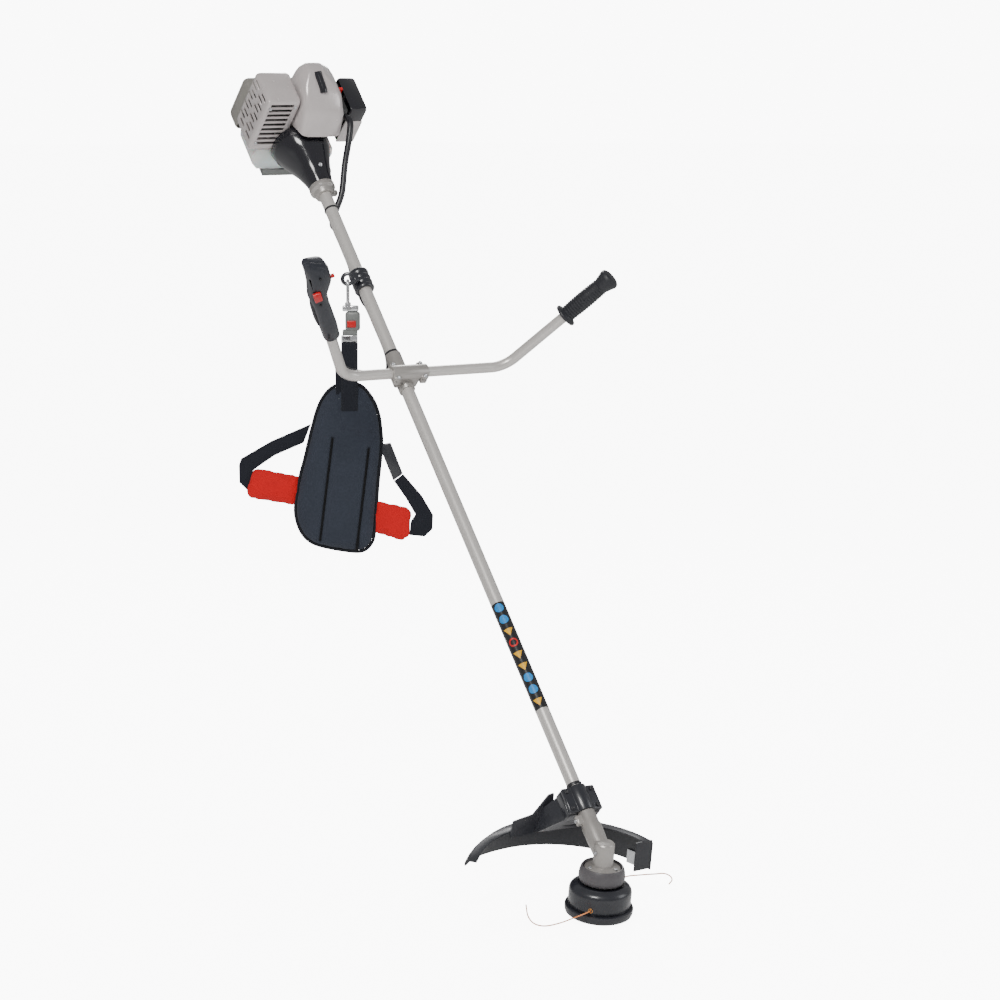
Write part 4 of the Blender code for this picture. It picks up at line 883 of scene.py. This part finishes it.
def stitched(name, rows, finish, pitch=0.0034):
    """Rows of raised stitches, each a small oval bead set along a line by a node tree."""
    bead = bmesh.new()
    bmesh.ops.create_icosphere(bead, subdivisions=1, radius=1)
    bmesh.ops.scale(bead, verts=bead.verts, vec=(0.00034, 0.00034, 0.00110))
    bead_mesh = bpy.data.meshes.new(name + "_bead")
    bead.to_mesh(bead_mesh)
    bead.free()
    stamp = bpy.data.objects.new(name + "_bead", bead_mesh)
    lines = bpy.data.meshes.new(name)
    spots, links = [], []
    for row in rows:
        first = len(spots)
        spots += [tuple(HANG @ Vector(p)) for p in row]
        links += [(first + i, first + i + 1) for i in range(len(row) - 1)]
    lines.from_pydata(spots, links, [])
    piece = bpy.data.objects.new(name, lines)
    scene.collection.objects.link(piece)
    tree = bpy.data.node_groups.new(name, "GeometryNodeTree")
    tree.interface.new_socket("Seam lines", in_out="INPUT", socket_type="NodeSocketGeometry")
    gap = tree.interface.new_socket("Stitch pitch", in_out="INPUT", socket_type="NodeSocketFloat")
    tree.interface.new_socket("Stitches", in_out="OUTPUT", socket_type="NodeSocketGeometry")
    into = tree.nodes.new("NodeGroupInput")
    curve = tree.nodes.new("GeometryNodeMeshToCurve")
    spaced = tree.nodes.new("GeometryNodeCurveToPoints")
    spaced.mode = "LENGTH"
    shape = tree.nodes.new("GeometryNodeObjectInfo")
    shape.inputs["Object"].default_value = stamp
    turn = tree.nodes.new("FunctionNodeAlignRotationToVector")
    turn.axis = "Z"
    copies = tree.nodes.new("GeometryNodeInstanceOnPoints")
    solid = tree.nodes.new("GeometryNodeRealizeInstances")
    painted = tree.nodes.new("GeometryNodeSetMaterial")
    painted.inputs["Material"].default_value = finish.material
    out = tree.nodes.new("NodeGroupOutput")
    tree.links.new(into.outputs["Seam lines"], curve.inputs["Mesh"])
    tree.links.new(curve.outputs["Curve"], spaced.inputs["Curve"])
    tree.links.new(into.outputs["Stitch pitch"], spaced.inputs["Length"])
    tree.links.new(spaced.outputs["Tangent"], turn.inputs["Vector"])
    tree.links.new(spaced.outputs["Points"], copies.inputs["Points"])
    tree.links.new(shape.outputs["Geometry"], copies.inputs["Instance"])
    tree.links.new(turn.outputs[0], copies.inputs["Rotation"])
    tree.links.new(copies.outputs[0], solid.inputs[0])
    tree.links.new(solid.outputs[0], painted.inputs["Geometry"])
    tree.links.new(painted.outputs[0], out.inputs[0])
    modifier = piece.modifiers.new("stitches", "NODES")
    modifier.node_group = tree
    modifier[gap.identifier] = pitch
    settled(piece)
    bpy.data.objects.remove(stamp)
    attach(piece, "harness")
    return piece


pale_thread = moulded("pale_thread", (0.55, 0.55, 0.52), 0.7, 900, 0.00005)
dark_thread = moulded("dark_thread", (0.05, 0.05, 0.06), 0.7, 900, 0.00005)
seam_rows = [[(x, -0.0169, z) for z in (-0.1310, -0.1950, -0.2570)] for x in (-0.0105, 0.0155)]
stitched("strap_stitches", seam_rows, dark_thread)
stitched("bar_tack", [[(-0.0240, -0.0135, -0.2390), (-0.0150, -0.0135, -0.2350)]], pale_thread, 0.0016)

# ---------------------------------------------------------------- harness pads
# The hip pad is padded black cloth with two sewn channels and a bound edge. Two red foam pads sit on
# the waist straps at its sides.

HIP_PAD = (
    (0.0000, -0.2065), (-0.0220, -0.2105), (-0.0420, -0.2240), (-0.0600, -0.2530),
    (-0.0745, -0.3010), (-0.0880, -0.3560), (-0.1000, -0.4010), (-0.1085, -0.4560),
    (-0.1055, -0.4860), (-0.0950, -0.5110), (-0.0760, -0.5290), (-0.0450, -0.5390),
    (0.0050, -0.5470), (0.0280, -0.5450), (0.0430, -0.5310), (0.0500, -0.5060), (0.0570, -0.4160),
    (0.0650, -0.3360), (0.0640, -0.3010), (0.0600, -0.2710), (0.0500, -0.2430), (0.0330, -0.2190),
    (0.0180, -0.2090),
)
SIDE_PAD_LEFT = (
    (-0.1905, -0.3830), (-0.1830, -0.3800), (-0.1012, -0.3960), (-0.1092, -0.4520),
    (-0.2010, -0.4370), (-0.2045, -0.4250),
)
SIDE_PAD_RIGHT = (
    (0.0560, -0.4450), (0.1150, -0.4600), (0.1215, -0.4680), (0.1180, -0.5140), (0.1060, -0.5240),
    (0.0520, -0.5080),
)


EDGE_SLIP = 0.001
VOXEL = 0.005


def drawn_in(outline, inset):
    """The outline moved inwards."""
    loop = [Vector((x, y, 0)) for x, y in outline]
    out = []
    for before, here, after in zip([loop[-1], *loop[:-1]], loop, [*loop[1:], loop[0]]):
        along = (after - before).normalized()
        out.append((here.x - along.y * inset, here.y + along.x * inset))
    return out


def stuffed(name, outline, half, most, finish, stands_for, channels=()):
    """A pad swollen by cloth pressure in its own frame, with sewn channels pressed in afterwards."""
    bm = flat_outline(outline, -half, half)
    bmesh.ops.recalc_face_normals(bm, faces=bm.faces)
    mesh = bpy.data.meshes.new(name)
    bm.to_mesh(mesh)
    bm.free()
    mesh.transform(HANG)
    pad = bpy.data.objects.new(name, mesh)
    scene.collection.objects.link(pad)
    even = pad.modifiers.new("even_mesh", "REMESH")
    even.mode = "VOXEL"
    even.voxel_size = VOXEL
    even.use_smooth_shade = True
    settled(pad)
    start = [v.co.copy() for v in pad.data.vertices]
    cloth = pad.modifiers.new("stuffing", "CLOTH")
    cloth.settings.use_pressure = True
    cloth.settings.uniform_pressure_force = 4
    cloth.settings.effector_weights.gravity = 0
    cloth.settings.quality = 5
    for step in range(1, 21):
        scene.frame_set(step)
    settled(pad)
    scene.frame_set(1)
    outward = HANG.to_3x3() @ Vector((0, 1, 0))
    for v, was in zip(pad.data.vertices, start):
        moved = v.co - was
        swell = max(-most, min(most, moved.dot(outward)))
        slip = moved - outward * moved.dot(outward)
        if slip.length > EDGE_SLIP:
            slip *= EDGE_SLIP / slip.length
        v.co = was + outward * swell + slip
    round_off = pad.modifiers.new("round_off", "SUBSURF")
    round_off.levels = 1
    round_off.render_levels = 1
    settled(pad)
    back = HANG.inverted()
    for v in pad.data.vertices:
        at = back @ v.co
        for top, bottom, depth in channels:
            top, bottom = Vector(top), Vector(bottom)
            line = bottom - top
            flat = Vector((at.x, at.z))
            share = max(0, min(1, (flat - top).dot(line) / line.length_squared))
            away = (flat - top - line * share).length
            at.y -= math.copysign(depth * math.exp(-((away / 0.0035) ** 2)), at.y)
        v.co = HANG @ at
    pad.data.shade_smooth()
    pad.data.materials.clear()
    pad.data.materials.append(finish.material)
    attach(pad, "harness")
    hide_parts(*stands_for)
    return pad


def cloth_skin(name, colour, pale, weave):
    """Woven cover cloth with slight creases and a faint sheen."""
    sheen = {"Sheen Weight": 0.08, "Sheen Roughness": 0.5, "Specular IOR Level": 0.25}
    skin = Finish(name, colour, 0.85, sheen)
    here = skin.spot()
    x, y, z = skin.parts(here)
    warp = skin.node("ShaderNodeMath", {"operation": "SINE"}, {0: (x + y * 0.5) * weave})
    weft = skin.node("ShaderNodeMath", {"operation": "SINE"}, {0: z * weave})
    thread = warp * weft * 0.5 + 0.5
    creases = skin.grain(here, 26, 5)
    skin.set(
        {
            "Base Color": skin.mix((*[0.72 * c for c in colour], 1), pale, thread * 0.45 + creases * 0.4),
            "Roughness": 0.75 + creases * 0.2,
            "Normal": skin.bump(thread * 0.25 + creases * 1.2, 0.0006),
        }
    )
    return skin


pad_cloth = cloth_skin("pad_cloth", (0.016, 0.020, 0.032), (0.045, 0.053, 0.074, 1), 2600)
red_cloth = cloth_skin("red_cloth", (0.58, 0.002, 0.004), (0.72, 0.008, 0.010, 1), 2200)
pad_channels = (
    ((-0.0320, -0.3160), (-0.0590, -0.5230), 0.0050),
    ((0.0400, -0.3370), (0.0140, -0.5430), 0.0050),
    ((-0.0200, -0.2240), (-0.0120, -0.2980), 0.0014),
    ((-0.0120, -0.2980), (0.0200, -0.3060), 0.0014),
    ((0.0200, -0.3060), (0.0640, -0.3020), 0.0014),
)
hip = drawn_in(smooth_outline(HIP_PAD, 160), 0.0022)
stuffed("hip_cushion", hip, 0.0085, 0.0065, pad_cloth, ("hip_pad",), pad_channels)
for side, outline in (("left", SIDE_PAD_LEFT), ("right", SIDE_PAD_RIGHT)):
    small = drawn_in(outline, 0.0030)
    node = f"side_pad_{side}"
    stuffed(f"side_cushion_{side}", small, 0.0050, 0.0060, red_cloth, (node,))
binding = [HANG @ Vector((x, 0, z)) for x, z in smooth_outline(HIP_PAD, 200)]
binding.append(binding[0])
edge_cloth = woven("edge_binding", (0.006, 0.007, 0.010), (0.020, 0.021, 0.028, 1), 0.8)
keep("pad_binding", swept(binding, 0.0034, 12), Matrix(), edge_cloth, "harness")
# Near-black strips along the two sewn channels are painted shade, the shade that falls in the channel
# grooves.
channel_painted_shade = woven("channel_painted_shade", (0.001, 0.001, 0.002), (0.003, 0.003, 0.004, 1), 0.8)
for side, top, bottom in (
    ("left", (-0.0320, -0.3160), (-0.0590, -0.5230)),
    ("right", (0.0400, -0.3370), (0.0140, -0.5430)),
):
    line = [HANG @ Vector((x, -0.0112, z)) for x, z in (top, bottom)]
    shade_strip = swept(smooth_route(line, 12), 0.0024, 10)
    keep(f"channel_tape_{side}", shade_strip, Matrix(), channel_painted_shade, "harness")

# ---------------------------------------------------------------- engine front
# A cast horn joins the shaft to the engine, with the clutch inside. A ribbed collar pinches it on
# the tube.

pearl_coat = {"Coat Weight": 0.35, "Metallic": 0.25}
pearl = moulded("pearl_silver", (0.55, 0.505, 0.50), 0.24, 380, 0.00003, pearl_coat)
gloss_black = moulded("gloss_black", (0.010, 0.010, 0.014), 0.16, 300, 0.00001, {"Coat Weight": 0.3})
dressed("shaft_collar", "pinch_collar", cast, 0.0008)
dressed("clutch_housing", "clutch_horn", gloss_black, 0.0010, 40)
for number, (station, radius) in enumerate(((1.5800, 0.0240), (1.6060, 0.0310))):
    ring = [(radius - 0.002, -0.0016), (radius + 0.0004, -0.0016), (radius + 0.0010, 0)]
    ring += [(radius + 0.0004, 0.0016), (radius - 0.002, 0.0016)]
    at = AXIS @ Matrix.Translation((0, 0, station))
    keep(f"horn_ring_{number}", lathe(ring, 64), at, gloss_black, "machine")
dressed("clutch_drum", "clutch_cup", steel, 0.0004)
dressed("flywheel", "fan_wheel", cast, 0.0004)
dressed("crankshaft", "crank_rod", steel, 0.0002)
dressed("crankcase", "crank_casting", cast, 0.0010)
dressed("cylinder", "finned_barrel", cast, 0)
collar_bolts = []
for turn in range(0, 360, 60):
    spoke = Vector((math.cos(math.radians(turn)), math.sin(math.radians(turn)), 0))
    spot = AXIS @ (spoke * 0.0232 + Vector((0, 0, 1.5625)))
    collar_bolts.append((spot, AXIS.to_3x3() @ Vector((0, 0, -1))))
fastened("collar_bolts", collar_bolts, 0.0024, steel, "machine")
horn_screw = [(SHAFT @ Vector((-0.0020, 1.6060, 0.0312)), SHAFT.to_3x3() @ Vector((0, -0.35, 1)))]
fastened("horn_screw", horn_screw, 0.0046, steel, "machine")

# ---------------------------------------------------------------- engine covers
# Pearl silver covers hide the cylinder, the muffler and the pull starter. A black cover over the air
# filter clips on beside the carburettor.

dressed("cylinder_cover", "top_hood", pearl, 0.0012, 42)
dressed("muffler_guard", "silencer_guard", pearl, 0.0012, 42)
soot = moulded("sooty_steel", (0.010, 0.009, 0.009), 0.6)
dressed("muffler", "silencer", soot, 0.0008)
# The starter housing is pearl silver like the other covers; its darker grey here is painted shade, the
# shade on its face turned from the light.
starter_shaded_pearl = moulded("starter_shaded_pearl", (0.23, 0.22, 0.20), 0.4, 380, 0.00005)
dressed("starter_housing", "starter_shell", starter_shaded_pearl, 0.0012, 42)
dressed("starter_grip", "starter_handle", head_black, 0.0014)
ROPE_AT = (0.038, 0.033)
rope_ends = [Vector((ROPE_AT[0], station, ROPE_AT[1])) for station in (1.790, 1.838)]
rope_cord = woven("rope_cord", (0.012, 0.012, 0.016), (0.05, 0.05, 0.06, 1), 0.5, 1600)
rope_mesh = swept(smooth_route(rope_ends, 30), 0.0016, 12)
rope = keep("starter_rope", rope_mesh, SHAFT, rope_cord, None)
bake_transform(rope)
dressed("spark_plug", "plug_cap", head_black, 0.0006)
dark_cast = cast_metal("dark_casting", (0.07, 0.07, 0.07), 0.4)
dressed("carburettor", "carburettor_body", dark_cast, 0.0008)
dressed("choke_lever", "choke_arm", signal_red, 0.0006)
dressed("filter_cover", "filter_lid", gloss_black, 0.0012, 42)
clear_bulb = Finish("clear_bulb", (0.60, 0.62, 0.60), 0.2, {"Alpha": 0.75})
dressed("primer_bulb", "primer_dome", clear_bulb, 0)
insert = [
    (-0.0060, 1.7395, 0.1615), (-0.0050, 1.7330, 0.1572), (-0.0020, 1.7215, 0.1512),
    (0.0010, 1.7085, 0.1445), (0.0020, 1.7020, 0.1395),
]
keep("hood_insert", swept(smooth_route(insert, 40), 0.0078, 32), SHAFT, gloss_black, "machine")
spots = ((0.0790, 1.6975, -0.0050), (0.1190, 1.7020, 0.0560))
cushion_box("filter_face", *spots, SHAFT, pearl, "machine", "pearl_silver", 0.0020)
cover_screws = []
for x, n in ((-0.1100, 0.0060), (-0.1100, 0.1060), (-0.0560, 0.1100), (-0.0560, 0.0020)):
    cover_screws.append((SHAFT @ Vector((x, 1.6897, n)), SHAFT.to_3x3() @ Vector((0, -1, 0))))
fastened("guard_screws", cover_screws, 0.0034, steel, "machine")

# ---------------------------------------------------------------- tank and stand
# A white see-through fuel tank straddles the crankcase, with a black cap, over a grey stand that the
# engine rests on.

tank_white = Finish("tank_white", (0.80, 0.80, 0.78), 0.35, {"Subsurface Weight": 0.25, "Coat Weight": 0.2})
tank_cloud = tank_white.grain(tank_white.spot(), 18, 3)
tank_white.set(
    {
        "Base Color": tank_white.mix((0.74, 0.74, 0.71, 1), (0.88, 0.88, 0.86, 1), tank_cloud),
        "Roughness": 0.30 + tank_cloud * 0.15,
        "Normal": tank_white.bump(tank_white.grain(tank_white.spot(), 300, 3), 0.00004),
    }
)
dressed("fuel_tank", "petrol_tank", tank_white, 0.0016, 42)
dressed("fuel_cap", "filler_cap", knob_black, 0.0008)
dressed("tank_stand", "rest_stand", release_grey, 0.0008)
